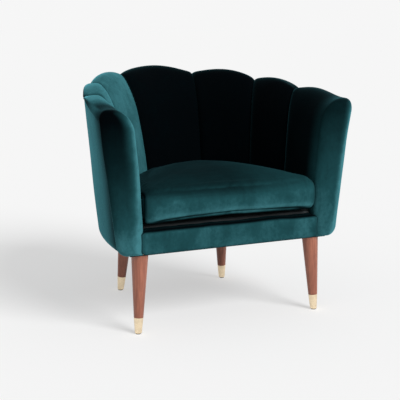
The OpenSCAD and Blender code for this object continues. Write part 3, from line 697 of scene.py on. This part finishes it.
def nose_grid():
    """Points of the arm front on the right side: columns forward, rows from foot to foot."""
    t = (NOSE_D * np.sin(NOSE_TURNS))[:, None]
    one = np.ones(len(NOSE_TURNS))
    r, z = face(RIGHT * one, t.ravel(), one, 0 * one)
    low = z[:, -1:]
    foot_z = mix(COVER_Z, FOOT_Z, np.linspace(0, 1, FOOT_ROWS, endpoint=False))[None, :] + 0 * t
    outer_z = mix(low, COVER_Z + LOWER_R, np.linspace(0, 1, OUTER_ROWS + 1)[1:])
    turn = np.linspace(0, RIGHT, CORNER_ROWS + 1)[1:]
    corner_z = COVER_Z + LOWER_R * (1 - np.sin(turn))[None, :] + 0 * t
    corner_r = outside_r(RIGHT, corner_z) + LIP_PROUD - LOWER_R * (1 - np.cos(turn))
    r = np.concatenate(
        [valley_r(RIGHT, foot_z) - BULGE, r, outside_r(RIGHT, outer_z) + LIP_PROUD, corner_r], axis=1
    )
    z = np.concatenate([foot_z, z, outer_z, corner_z], axis=1)
    lip_start = FOOT_ROWS + len(INSIDE) + len(ROLL)
    hem = np.hypot(t, np.maximum(z - low, 0))
    r = r - np.where(np.arange(z.shape[1]) >= lip_start, rounding(hem, LIP_PROUD), 0)
    share = np.cos(NOSE_TURNS)[:, None]
    r = mix(nose_middle(z), r, share)
    z = z + FOOT_LIFT * (1 - share) * unit(1 - (z - COVER_Z) / LIFT_H) ** 2
    return np.stack([r, CENTRE_Y - t + 0 * r, z], axis=-1)


def zipped(tip, height):
    """Triangles that close the narrow gap along the tip, between its two sides."""
    top = int(np.argmax(height))
    one = list(zip(tip[: top + 1], height[: top + 1]))
    other = list(zip(tip[top:], height[top:]))[::-1]
    faces = []
    i = j = 0
    while i < len(one) - 1 or j < len(other) - 1:
        on = j == len(other) - 1 or (i < len(one) - 1 and one[i + 1][1] < other[j + 1][1])
        third = one[i + 1][0] if on else other[j + 1][0]
        face_points = (one[i][0], third, other[j][0])
        if len(set(face_points)) == 3:
            faces.append(face_points)
        i, j = (i + 1, j) if on else (i, j + 1)
    return faces


def arm_channel(name, side, seed):
    """The arm's pad, which runs on round the arm front. It is one closed mesh."""
    q = -np.cos(RIGHT * np.linspace(0, 1, ARM_ACROSS + 1))
    phi = mix(SEAMS[2], RIGHT, q + 1)
    arch = arm_arch(arm_share(phi))
    r, z = face(phi, 0 * phi, (1 - q * q) ** SWELL_N, arch)
    r = hemmed(r, z)
    hook = place(phi[:, None], 0, r, z)
    back = place(phi[:, None], 0, *rear(phi, arch))
    seam_gap = r * (phi - SEAMS[2])[:, None]
    hook, nearest = dressed(hook, back, [(seam_gap, side * SEAMS[2] * SEAM_SEED)], seed)
    nose = nose_grid()
    level = np.minimum(nose[..., 2], NOSE_AXIS_H)
    middle = np.stack([nose_middle(level), nose[..., 1] * 0 + CENTRE_Y, level], axis=-1)
    soft = SOFT * waves(nose, SOFT_LENGTH, seed)
    nose = nose + normals_of(nose, middle) * soft[..., None]
    seen = slice(FOOT_ROWS, FOOT_ROWS + z.shape[1])
    nose[0, seen] = hook[-1]

    columns, length = nose.shape[:2]
    hook_at = np.arange(hook[..., 0].size).reshape(hook.shape[:2])
    back_at = hook_at + hook_at.size
    nose_at = np.arange(nose[..., 0].size).reshape(columns, length) + 2 * hook_at.size
    nose_at[0, seen] = hook_at[-1]
    faces = np.concatenate([
        quads(hook_at),
        quads(back_at),
        strip(hook_at[0], back_at[0]),
        strip(hook_at[:, 0], back_at[:, 0]),
        strip(hook_at[:, -1], back_at[:, -1]),
        quads(nose_at),
        strip(nose_at[:, 0], nose_at[:, -1]),
    ]).tolist()
    first = nose_at[0]
    ring = np.concatenate([first[:FOOT_ROWS], [hook_at[-1, 0]], back_at[-1], first[seen.stop - 1:]])
    faces = [tuple(f) for f in faces] + [tuple(ring.tolist())]
    faces += zipped(nose_at[-1].tolist(), nose[-1, :, 2])
    points = np.concatenate([hook.reshape(-1, 3), back.reshape(-1, 3), nose.reshape(-1, 3)])
    points[:, 0] *= side
    obj = mesh_object(name, points, faces)
    seam_fields(obj, nearest.ravel(), hook_at.ravel())
    drop_loose(obj)
    hard_edges(obj, ARM_SHARP)
    return obj


def drop_loose(obj):
    """Takes away points that no face uses."""
    work = bmesh.new()
    work.from_mesh(obj.data)
    loose = [v for v in work.verts if not v.link_faces]
    bmesh.ops.delete(work, geom=loose, context="VERTS")
    work.to_mesh(obj.data)
    work.free()


# Outside cover
def channel_arch(phi):
    """Share of the crest's rise over each channel."""
    p = np.abs(phi)
    back = 1 - (p / SEAMS[0]) ** 2
    beside = 1 - (2 * (p - SEAMS[0]) / (SEAMS[1] - SEAMS[0]) - 1) ** 2
    side = 1 - (2 * (p - SEAMS[1]) / (SEAMS[2] - SEAMS[1]) - 1) ** 2
    return np.select([p <= seam for seam in SEAMS[:3]], [back, beside, side], arm_arch(arm_share(p)))


COVER_COLUMNS = 70
COVER_ROWS = 70
UNDER_ROWS = 5
WIDE_PANEL = 1.0
COVER_BUNCH = 0.6
CORNER_T = COVER_T - 2
CORNER_LIFT = 1.6
HEM_R = 3.5
COVER_WAVE = SOFT_LENGTH * 1.4
COVER_START = 25
COVER_PUCKER = 0.6


def outside_cover(name, low, high, seed):
    """A panel of the outside, rounded in at its seams and turned under at its foot."""
    columns = COVER_COLUMNS * (2 if high - low > WIDE_PANEL else 1)
    bunched = np.sin(np.linspace(-RIGHT, RIGHT, columns + 1))
    even = np.linspace(-1, 1, columns + 1)
    phi = mix(low, high, (mix(even, bunched, COVER_BUNCH) + 1) / 2)[:, None]
    top = valley_top(phi) + rise(phi) * channel_arch(phi) - lip_drop(phi) - SKIN_GAP
    z = mix(top, COVER_Z + LOWER_R, np.linspace(0, 1, COVER_ROWS + 1))
    turn = np.linspace(0, RIGHT, CORNER_ROWS + 1)[1:]
    corner_z = COVER_Z + LOWER_R * (1 - np.sin(turn)) + 0 * phi
    wall_r = outside_r(phi, z)
    corner_r = outside_r(phi, corner_z) - LOWER_R * (1 - np.cos(turn))
    under_r = outside_r(phi, corner_z[:, -1:]) - LOWER_R - np.linspace(0, TURN_W, UNDER_ROWS + 1)[1:]
    r = np.concatenate([wall_r, corner_r, under_r], axis=1)
    inner_r = np.concatenate([wall_r - COVER_T, corner_r - CORNER_T * np.cos(turn), under_r], axis=1)
    z = np.concatenate([z, corner_z, COVER_Z + 0 * under_r], axis=1)
    lift = CORNER_LIFT * np.concatenate([np.zeros(COVER_ROWS + 1), np.sin(turn), np.ones(UNDER_ROWS)])
    gap = r * np.minimum(phi - low, high - phi)
    front = place(phi, 0, r - rounding(gap, HEM_R), z)
    back = place(phi, 0, inner_r, z + lift)
    above = front[..., 2] - COVER_Z
    soft = SOFT * waves(front, COVER_WAVE, seed) * (1 - near(gap, COVER_START)) * unit(above / 40)
    puckers = seam_cloth(front, gap, seed) * COVER_PUCKER * unit(above / 30)
    front = front + normals_of(front, back) * (soft + puckers)[..., None]
    obj = mesh_object(name, *closed_shell(front, back))
    seam_fields(obj, gap.ravel(), np.arange(gap.size), light=0.7)
    hard_edges(obj)
    return obj


# Front rail
RAIL_R = 10
RAIL_INNER_R = 5
RAIL_HEEL = 3
RAIL_END_R = 11.0
RAIL_AROUND = 84
RAIL_COLUMNS = 60
RAIL_GAP = 0.6
RAIL_FADE = 20
RAIL_FLAT_Z = COVER_Z + 4
ARC_POINTS = 9


def rail_section():
    """Outline of the rail's cover from the side, as [y, z] from the inner foot round to the front."""
    front = RAIL_FRONT_Y - RAIL_PAD
    top = UNDERSIDE_H + RAIL_COVER_H
    turn = np.linspace(0, RIGHT, ARC_POINTS)

    def arc(y, z, radius, first):
        return np.stack([y + radius * np.cos(first + turn), z + radius * np.sin(first + turn)], axis=1)

    corners = [
        arc(SEAT_FRONT_Y - RAIL_INNER_R, top - RAIL_INNER_R, RAIL_INNER_R, 0),
        arc(front + RAIL_R, top - RAIL_R, RAIL_R, RIGHT),
        arc(front + RAIL_R, COVER_Z + RAIL_R, RAIL_R, 2 * RIGHT),
    ]
    foot = [[SEAT_FRONT_Y, COVER_Z + RAIL_HEEL]]
    heel = [[SEAT_FRONT_Y - RAIL_HEEL, COVER_Z]]
    outline = np.concatenate([foot, *corners, heel])
    closed = np.concatenate([outline, outline[:1]])
    length = np.concatenate([[0], np.cumsum(np.linalg.norm(np.diff(closed, axis=0), axis=1))])
    even = np.linspace(0, length[-1], RAIL_AROUND + 1)[:-1]
    return np.stack([np.interp(even, length, closed[:, i]) for i in (0, 1)], axis=1)


def rail_cover(seed):
    """The padded cover of the front rail, soft at its ends."""
    outline = rail_section()
    middle = (outline.min(axis=0) + outline.max(axis=0)) / 2
    t = CENTRE_Y - outline[:, 0]
    inner = TUB_W / 2 - BULGE
    half = mix(nose_middle(COVER_Z), inner, nose_share(np.maximum(t, 0))) - RAIL_GAP
    spread = np.sin(np.linspace(0, RIGHT, RAIL_COLUMNS))
    spread = np.concatenate([-spread[:0:-1], spread])
    gap = (1 - np.abs(spread)) * inner
    draw = rounding(gap, RAIL_END_R)[:, None]
    reach = np.linalg.norm(outline - middle, axis=1)[None, :]
    share = 1 - draw / reach
    yz = middle + (outline - middle)[None] * share[..., None]
    points = np.stack([spread[:, None] * half[None, :], yz[..., 0], yz[..., 1]], axis=-1)
    out = SOFT * waves(points, 120, seed) + 0.8 * waves(points, 55, seed + 1)
    centre = np.broadcast_to(np.array([0, *middle]), points.shape).copy()
    centre[..., 0] = points[..., 0]
    direction = points - centre
    direction /= np.maximum(np.linalg.norm(direction, axis=-1, keepdims=True), 1e-9)
    keep = unit(gap / RAIL_FADE)[:, None] * (points[..., 2] > RAIL_FLAT_Z)
    points = points + direction * (out * keep)[..., None]
    obj = ring_mesh("front_rail_pad", points)
    gap = np.repeat(gap, points.shape[1])
    seam_fields(obj, gap, np.arange(gap.size))
    hard_edges(obj)
    return obj


# Seat cushion
CUSHION_A = TUB_W / 2 - BULGE - CUSHION_GAP
CUSHION_B = TUB_D - BULGE - CUSHION_GAP
CUSHION_NOSE = NOSE_D + CUSHION_FRONT
CUSHION_MID_Y = CENTRE_Y + CUSHION_B / 2 - CUSHION_NOSE / 2
CUSHION_AROUND = 180
SIDE_RINGS = 25
BASE_SHARES = (0.1, 0.35, 0.6, 0.8)
CROWN_SHARES = (0.94, 0.85, 0.72, 0.56, 0.4, 0.24, 0.08)
BASE_SHRINK = 0.6
FRONT_SPREAD = 12
CORNER_N = 3.8
CROWN_N = 3.2
SIDE_N = 4.5
ROUND_N = 2.2
EDGE_BAND = CUSHION_H / 2
FRONT_LIFT = 19.0
FRONT_FOOT_N = 3.4
VOXEL = 0.005
PRESSURE = 4.0
MOST_MOVE = 0.009
FILL_START = 7.0
SIM_FRAMES = 20


def signed_pow(v, e):
    return np.sign(v) * np.abs(v) ** e


def cushion_rings(shrink):
    """The cushion's form before it is filled, ring by ring from the base to the crown."""
    w = np.linspace(0, 2 * np.pi, CUSHION_AROUND + 1)[:-1]
    front = np.sqrt(np.maximum(0, -np.cos(w)))
    behind = np.cos(w) >= 0
    ahead = (CUSHION_A + FRONT_SPREAD * front) * signed_pow(np.sin(w), 2 / CORNER_N)
    x = np.where(behind, CUSHION_A * np.sin(w), ahead)
    y = np.where(behind, CUSHION_B * np.cos(w), CUSHION_NOSE * signed_pow(np.cos(w), 2 / CORNER_N))
    p = np.stack([x, y + CENTRE_Y - CUSHION_MID_Y], axis=1)
    reach = np.linalg.norm(p, axis=1)
    rings = []
    for turn, size, lift in cushion_steps():
        n = mix(SIDE_N, FRONT_FOOT_N if turn < 0 else ROUND_N, front)
        band = EDGE_BAND * (1 - np.abs(np.cos(turn)) ** (2 / n)) + shrink
        share = (1 - band / reach) * size
        side = signed_pow(np.sin(turn), 2 / n)
        z = CUSHION_Z + BASE_SHRINK * shrink + (CUSHION_H - shrink) / 2 * (1 + side) + lift
        z = z + FRONT_LIFT * front ** 2 * (1 - side) / 2
        rings.append(np.stack([p[:, 0] * share, CUSHION_MID_Y + p[:, 1] * share, z + 0 * share], axis=1))
    return np.array(rings)


def cushion_steps():
    """Turn, share of the full size and lift of each ring."""
    steps = [(-RIGHT, share, 0) for share in BASE_SHARES]
    steps += [(turn, 1, 0) for turn in np.linspace(-RIGHT, RIGHT, SIDE_RINGS)]
    return steps + [(RIGHT, share, CROWN_H * (1 - share ** CROWN_N)) for share in CROWN_SHARES]


def applied(obj):
    """Swaps the object's mesh for what its modifiers make of it, and drops them."""
    graph = bpy.context.evaluated_depsgraph_get()
    mesh = bpy.data.meshes.new_from_object(obj.evaluated_get(graph))
    obj.modifiers.clear()
    old = obj.data
    obj.data = mesh
    bpy.data.meshes.remove(old)


def set_points(obj, points):
    obj.data.vertices.foreach_set("co", np.asarray(points).ravel())
    obj.data.update()


def fill(obj):
    """Fills the cover with air for a moment, and keeps what moves outwards of its stuffed form."""
    scene = bpy.context.scene
    remesh = obj.modifiers.new("remesh", "REMESH")
    remesh.mode = "VOXEL"
    remesh.voxel_size = VOXEL
    applied(obj)
    start = vectors_of(obj, "co")
    cloth = obj.modifiers.new("cloth", "CLOTH")
    cloth.settings.quality = 4
    cloth.settings.mass = 0.3
    cloth.settings.tension_stiffness = 12
    cloth.settings.compression_stiffness = 12
    cloth.settings.shear_stiffness = 4
    cloth.settings.bending_stiffness = 0.6
    cloth.settings.use_pressure = True
    cloth.settings.uniform_pressure_force = PRESSURE
    cloth.settings.effector_weights.gravity = 0
    cloth.collision_settings.use_collision = False
    cloth.point_cache.frame_start = 1
    cloth.point_cache.frame_end = SIM_FRAMES
    for step in range(1, SIM_FRAMES + 1):
        scene.frame_set(step)
    graph = bpy.context.evaluated_depsgraph_get()
    end = vectors_of(obj.evaluated_get(graph), "co")
    obj.modifiers.clear()
    scene.frame_set(1)
    normal = vectors_of(obj, "normal")
    out = np.maximum(0, np.sum((end - start) * normal, axis=1, keepdims=True))
    set_points(obj, start + normal * MOST_MOVE * np.tanh(out / MOST_MOVE))


TUB_CLEAR = 1.0
FRONT_LIMIT_Y = -OVERALL_D / 2 - 4


def inside_tub(p):
    """Draws points in where they would press through the channels or the deck."""
    back = np.maximum(p[:, 1] - CENTRE_Y, 0)
    phi = np.arctan2(p[:, 0], np.maximum(back, 1e-6))
    limit = valley_r(phi, CUSHION_Z) - BULGE - TUB_CLEAR
    reach = np.hypot(p[:, 0], back)
    share = np.where(p[:, 1] > CENTRE_Y, np.minimum(1, limit / np.maximum(reach, 1)), 1)
    p[:, 0] *= share
    p[:, 1] = np.where(p[:, 1] > CENTRE_Y, CENTRE_Y + back * share, p[:, 1])
    p[:, 1] = np.maximum(p[:, 1], FRONT_LIMIT_Y)
    p[:, 2] = np.maximum(p[:, 2], CUSHION_Z)
    return p


SEAM_X = 277.0
SEAM_UP = 36.0
SEAM_BACK_Y = CENTRE_Y - 8
SEAM_SLOPE = 0.9
SEAM_TURN = 6
GROOVE = 2.4
GROOVE_W = 2.6
WELT = 0.9
WRINKLE_X = 215.0
WRINKLE_END = SEAM_X - 3
FOLD = 0.8
FOLD_STEP = 19
FOLD_BEND = 10


def cushion_seam(p):
    """Distance from the seam round each end panel, in millimetres."""
    height = SEAM_UP - np.abs(p[:, 2] - CUSHION_Z - CUSHION_H / 2)
    side = np.maximum(np.abs(p[:, 0]) - SEAM_X, (p[:, 1] - SEAM_BACK_Y) * SEAM_SLOPE)
    return -np.log(np.exp(-height / SEAM_TURN) + np.exp(-side / SEAM_TURN)) * SEAM_TURN


def cushion_cloth(p, normal):
    """Seams, and wrinkles that run down the cushion's front ends, weaker at the left one."""
    gap = cushion_seam(p)
    seam = WELT * edge_light(np.abs(gap)) - GROOVE * near(gap, GROOVE_W)
    front = unit((CENTRE_Y + 10 - p[:, 1]) / 30)
    reach = np.where(p[:, 0] > 0, p[:, 0], 0.5 * (WRINKLE_X - p[:, 0]))
    ends = ramp(reach, WRINKLE_X, WRINKLE_X + 45) * unit((WRINKLE_END - np.abs(p[:, 0])) / 14)
    bend = FOLD_BEND * waves(p, 90, 41)
    folds = np.sin(2 * np.pi * (p[:, 0] + bend) / FOLD_STEP) * (0.6 + 0.4 * waves(p, 70, 42))
    soft = 2.0 * waves(p, 190, 43) + 0.5 * waves(p, 70, 44)
    out = seam + FOLD * folds * front * ends + soft
    return p + normal * out[:, None], gap


def seat_cushion(mat):
    obj = ring_mesh("seat_cushion_cover", cushion_rings(FILL_START))
    fill(obj)
    division = obj.modifiers.new("division", "SUBSURF")
    division.levels = 1
    division.render_levels = 1
    applied(obj)
    p, gap = cushion_cloth(inside_tub(vectors_of(obj, "co") / MM), vectors_of(obj, "normal"))
    set_points(obj, inside_tub(p) * MM)
    obj.data.polygons.foreach_set("use_smooth", [True] * len(obj.data.polygons))
    seam_fields(obj, np.abs(gap), np.arange(len(gap)), light=0.8)
    lay_painted_light(obj, seat_painted_light)
    finish_piece(obj, mat, "seat_cushion", "velvet", "cushion_cover")


FOAM_INSET = 19.0
FOAM_Z = CUSHION_Z + 6


def seat_foam(mat):
    """The foam block inside the cushion's cover."""
    obj = ring_mesh("seat_foam_block", cushion_rings(FOAM_INSET))
    p = vectors_of(obj, "co") / MM
    p[:, 2] = np.maximum(p[:, 2] + 0.4 * waves(p, 60, 71), FOAM_Z)
    set_points(obj, p * MM)
    finish_piece(obj, mat, "seat_cushion", "foam", "cushion_foam")


# Flat layers
PLAN_ROUND = 121
PLAN_FRONT = 61
LAYER_RINGS = 26
INNER_SHARE = 0.03
RIPPLE = 0.25


def plan(radii, front_y):
    """Outline of a layer from above: round the back and straight across the front."""
    phi = np.linspace(-RIGHT, RIGHT, PLAN_ROUND)
    r = radii(np.abs(phi))
    arc = np.stack([r * np.sin(phi), CENTRE_Y + r * np.cos(phi)], axis=1)
    arc = arc[arc[:, 1] > front_y + 0.5]
    across = np.linspace(arc[-1, 0], arc[0, 0], PLAN_FRONT)
    front = np.stack([across, np.full(PLAN_FRONT, front_y)], axis=1)
    return np.concatenate([arc, front])


def layer(name, outline, low, high, shape, inset):
    """A soft flat layer between two heights, its top shaped by a function of place and edge gap."""
    middle = (outline.min(axis=0) + outline.max(axis=0)) / 2
    spokes = outline - middle
    reach = np.linalg.norm(spokes, axis=1)[None, :]
    shares = np.linspace(1, INNER_SHARE, LAYER_RINGS)[:, None]
    gap = (1 - shares) * reach
    plane = middle + spokes[None] * shares[..., None]
    top = high - rounding(gap, inset) + shape(plane, gap)
    upper = np.concatenate([plane, top[..., None]], axis=-1)
    lower = np.concatenate([plane, low + 0 * gap[..., None]], axis=-1)
    return ring_mesh(name, np.concatenate([lower[::-1], upper]))


def deck_outline():
    return plan(lambda phi: valley_r(phi, STRAP_TOP) - BULGE - DECK_GAP, SEAT_FRONT_Y + 0.3)


def base_outline():
    return plan(lambda phi: outside_r(phi, UNDERSIDE_H) - LOWER_R - 0.3, RAIL_FRONT_Y)


def flat_layers(cloth, dust, felt):
    """The deck pad, the deck cloth stretched over it, and the dust cover under the frame."""
    outline = deck_outline()

    def ripple(plane, gap):
        p = np.concatenate([plane, 0 * plane[..., :1]], axis=-1)
        return RIPPLE * (waves(p, 120, 51) * unit(gap / 30) - 1)

    pad = layer("deck_felt_pad", outline, STRAP_TOP, STRAP_TOP + DECK_PAD_T - 0.4, ripple, 3.0)
    finish_piece(pad, felt, "chair", "deck_felt", "deck_pad")
    top = layer("deck_cloth_sheet", outline, STRAP_TOP + DECK_PAD_T, DECK_TOP, ripple, 0.4)
    finish_piece(top, cloth, "chair", "deck_cloth", "deck_cloth")
    outline = base_outline()
    heights = UNDERSIDE_H, UNDERSIDE_H + 0.7
    under = layer("dust_cover_sheet", outline, *heights, lambda plane, gap: 0 * gap, 0.3)
    finish_piece(under, dust, "chair", "dust_cover", "dust_cover")


BEVEL_ANGLE = 40


# Frame nodes keep their shape and get their finish
def dress_nodes(names, mat, bevel=0.0):
    for name in names:
        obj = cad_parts[name]
        obj.data.materials.clear()
        obj.data.materials.append(mat)
        if bevel:
            soft = obj.modifiers.new("edges", "BEVEL")
            soft.width = bevel
            soft.segments = 2
            soft.limit_method = "ANGLE"
            soft.angle_limit = np.radians(BEVEL_ANGLE)


# Light, floor and camera
BACKGROUND = 0.922
AMBIENT = 0.42
KEY = 2.6
KEY_SOFT = 30.0
KEY_FROM = (0.32, -0.75, 0.62)
FLOOR_HALF = 30.0
FLOOR_TONE = 0.80
FLOOR_SEEN = 0.50


def seen_directly(tree):
    """1 for what the camera sees, straight or in a gloss, and 0 for the light that falls on things."""
    path = tree.nodes.new("ShaderNodeLightPath")
    seen = path.outputs["Is Camera Ray"]
    for other in ("Is Glossy Ray", "Is Transmission Ray"):
        either = tree.nodes.new("ShaderNodeMath")
        either.operation = "MAXIMUM"
        tree.links.new(seen, either.inputs[0])
        tree.links.new(path.outputs[other], either.inputs[1])
        seen = either.outputs[0]
    return seen


def studio():
    world = bpy.data.worlds.new("studio")
    bpy.context.scene.world = world
    world.use_nodes = True
    tree = world.node_tree
    ground = tree.nodes["Background"]
    ground.inputs["Color"].default_value = (1, 1, 1, 1)
    level = tree.nodes.new("ShaderNodeMapRange")
    tree.links.new(seen_directly(tree), level.inputs["Value"])
    level.inputs["To Min"].default_value = AMBIENT
    level.inputs["To Max"].default_value = BACKGROUND
    tree.links.new(level.outputs["Result"], ground.inputs["Strength"])
    bpy.context.scene.view_settings.view_transform = "Standard"


def key_light():
    lamp = bpy.data.lights.new("key", "SUN")
    lamp.energy = KEY
    lamp.angle = np.radians(KEY_SOFT)
    obj = bpy.data.objects.new("key", lamp)
    bpy.context.scene.collection.objects.link(obj)
    x, y, z = KEY_FROM
    obj.rotation_euler = (np.arctan2(np.hypot(x, y), z), 0, np.arctan2(x, -y))


def floor_light():
    """Light on an unshadowed floor, as a share of what a white surface would return."""
    x, y, z = KEY_FROM
    return AMBIENT + KEY * z / np.sqrt(x * x + y * y + z * z) / np.pi


def floor():
    """A plain floor that looks as pale as the backdrop and keeps a soft shadow."""
    mesh = bpy.data.meshes.new("floor")
    signs = ((-1, -1), (1, -1), (1, 1), (-1, 1))
    mesh.from_pydata([(x * FLOOR_HALF, y * FLOOR_HALF, 0) for x, y in signs], [], [(0, 1, 2, 3)])
    obj = bpy.data.objects.new("floor", mesh)
    bpy.context.scene.collection.objects.link(obj)
    net = Net("floor_paper")
    seen = seen_directly(net.tree)
    tone = net.ranged(seen, 0.0, 1.0, FLOOR_TONE, FLOOR_SEEN)
    glow = BACKGROUND - FLOOR_SEEN * floor_light()
    net.finish(
        Base_Color=tone,
        Roughness=1.0,
        Specular_IOR_Level=0.0,
        Emission_Color=(1.0, 1.0, 1.0),
        Emission_Strength=net.math("MULTIPLY", seen, glow),
    )
    mesh.materials.append(net.mat)


CAMERA_AT = (-1.265, -2.894, 0.943)
CAMERA_YAW = 24.2
CAMERA_PITCH = 11.2
LENS = 90


def camera():
    data = bpy.data.cameras.new("camera")
    data.lens = LENS
    data.sensor_width = 36
    obj = bpy.data.objects.new("camera", data)
    obj.location = CAMERA_AT
    obj.rotation_euler = (np.radians(90 - CAMERA_PITCH), 0, -np.radians(CAMERA_YAW))
    bpy.context.scene.collection.objects.link(obj)
    bpy.context.scene.camera = obj


# Painted light and shade on each part, from 0 for painted shade to 1 for painted light
LEFT_LIT_TONE = 0.74
SHADED_TONE = 0.0
LIP_MID_TONE = 0.40
ARM_EDGE_LIT_TONE = 0.95
RAIL_LIT_TONE = 0.56


def shell_painted_light(p, n):
    """Painted light and shade on the shell: lit on the left side's inside, painted shade on the back and
    the right side, and a middle tone where the lip faces outwards.
    """
    phi = np.arctan2(p[:, 0], p[:, 1] - CENTRE_Y)
    left = ramp(-phi, SEAMS[0] - 0.01, SEAMS[0] + 0.01) * ramp(p[:, 1], CENTRE_Y + 45, CENTRE_Y + 135)
    tone = mix(SHADED_TONE, LEFT_LIT_TONE, left * ramp(n[:, 0] + 0.3 * n[:, 2], -0.6, -0.1))
    outward = ramp(n[:, 0] * np.sin(phi) + n[:, 1] * np.cos(phi), 0.3, 0.7)
    return mix(tone, LIP_MID_TONE, outward * (1 - left))


def arm_painted_light(p, n):
    """Painted light round the arm fronts: lit on the right edge and lighter towards the foot, painted shade
    higher up.
    """
    front = ramp(p[:, 1], CENTRE_Y + 60, CENTRE_Y)
    down = unit((ARM_H - 37 - p[:, 2]) / 340)
    foot = np.where(p[:, 0] > 0, 0.09 + 0.56 * down, 0.20 * down + 0.55 * down ** 3)
    turned = ARM_EDGE_LIT_TONE * ramp(n[:, 0], 0.05, 0.70) * ramp(p[:, 2], ARM_H + 10, ARM_H - 50)
    return mix(shell_painted_light(p, n), SHADED_TONE + foot + turned, front)


def outside_painted_light(p, n):
    """Painted light on the outside: a little lighter high up, and painted shade beside the arm fronts."""
    away = ramp(p[:, 1], CENTRE_Y - 12, CENTRE_Y + 108)
    return mix(0.40, 0.60, ramp(p[:, 2], UNDERSIDE_H, UNDERSIDE_H + 300)) * away


def rail_painted_light(p, n):
    """Painted light on the front of the rail and painted shade on its top."""
    return (RAIL_LIT_TONE + 0.06 * waves(p, 60, 61)) * ramp(n[:, 2], 0.7, 0.0)


def seat_painted_light(p, n):
    """Painted light on the cushion: lit on the front, painted shade on the crown that deepens towards the
    back and the left, and black painted shade beneath.
    """
    crown = 0.05 + 0.22 * ramp(p[:, 0], -20, 260) + 0.08 * ramp(p[:, 1], CENTRE_Y + 120, CENTRE_Y - 40)
    front = 0.53 + 0.34 * ramp(n[:, 2], 0.0, -0.6) + 0.05 * waves(p, 80, 62)
    return mix(front, crown, ramp(n[:, 2], -0.05, 0.95)) * ramp(n[:, 2], -0.93, -0.68)


# Pieces
def channels(mat):
    centre = channel("centre_pad", -SEAMS[0], SEAMS[0], 1)
    pads = [(centre, "centre_channel")]
    for side, word in ((1, "right"), (-1, "left")):
        spans = (("back", SEAMS[0], SEAMS[1]), ("side", SEAMS[1], SEAMS[2]))
        for k, (place_word, low, high) in enumerate(spans):
            ends = sorted((side * low, side * high))
            pad = channel(f"{word}_{place_word}_pad", *ends, 5 + 2 * k + side)
            pads.append((pad, f"{word}_{place_word}_channel"))
        pads.append((arm_channel(f"{word}_arm_pad", side, 11 + side), f"{word}_arm_channel"))
    for obj, node in pads:
        lay_painted_light(obj, arm_painted_light if "arm" in node else shell_painted_light)
        finish_piece(obj, mat, "chair", "velvet", node)


def covers(mat, rail_mat):
    panels = [
        ("back_outside_panel", -SEAMS[1], SEAMS[1], 21, "back_outside_cover"),
        ("right_outside_panel", SEAMS[1], RIGHT, 22, "right_outside_cover"),
        ("left_outside_panel", -RIGHT, -SEAMS[1], 23, "left_outside_cover"),
    ]
    for name, low, high, seed, node in panels:
        obj = finish_piece(outside_cover(name, low, high, seed), mat, "chair", "velvet", node)
        lay_painted_light(obj, outside_painted_light)
    obj = finish_piece(rail_cover(31), rail_mat, "chair", "velvet", "front_rail_cover")
    lay_painted_light(obj, rail_painted_light)


def rigid_parts():
    corners = ("front_left", "front_right", "back_left", "back_right")
    leg = wood("leg_wood", (0.20, 0.060, 0.034), (0.46, 0.160, 0.092))
    dress_nodes([c + "_leg" for c in corners], leg)
    brass = brushed("cap_metal", (0.96, 0.79, 0.55), 0.26)
    dress_nodes([c + "_cap" for c in corners], brass, 0.0006)
    ply = plywood("plywood")
    dress_nodes(["base_frame", "seat_ring"], ply)
    pine = wood("frame_timber", (0.50, 0.33, 0.18), (0.70, 0.53, 0.34), rough=0.6)
    posts = ("side_rib", "corner_rib", "back_rib", "arm_post")
    ribs = [f"{side}_{part}" for side in ("left", "right") for part in posts]
    dress_nodes(ribs + ["corner_blocks", "front_rail", "mid_rails", "top_rail"], pine)
    strap = woven("webbing", (0.02, 0.02, 0.02), (0.10, 0.10, 0.10), 0.003)
    dress_nodes(["back_webbing", "seat_webbing_long", "seat_webbing_cross"], strap)
    dress_nodes(["outside_board"], cellular("board", (0.30, 0.20, 0.12), (0.42, 0.30, 0.19), 300.0))
    dress_nodes(["foot_glides"], cellular("glide_rubber", (0.012, 0.012, 0.012), (0.03, 0.03, 0.03), 500.0))
    dress_nodes(["leg_bolts", "tee_nuts"], brushed("zinc_steel", (0.62, 0.63, 0.65), 0.32))


channels(velvet("channel_velvet", 0.0, 0.90))
covers(velvet("outside_velvet", 0.20, 0.80), velvet("rail_velvet", 0.05, 0.05))
seat_cushion(velvet("seat_velvet", 0.05, 0.05))
seat_foam(cellular("foam", (0.72, 0.66, 0.45), (0.84, 0.79, 0.60), 500.0))
flat_layers(
    woven("deck_cloth", (0.002, 0.005, 0.006), (0.008, 0.016, 0.018), 0.0016),
    woven("dust_cloth", (0.008, 0.008, 0.008), (0.03, 0.03, 0.03), 0.0022),
    cellular("deck_felt", (0.010, 0.014, 0.016), (0.030, 0.036, 0.038), 260.0),
)
rigid_parts()
studio()
key_light()
floor()
camera()
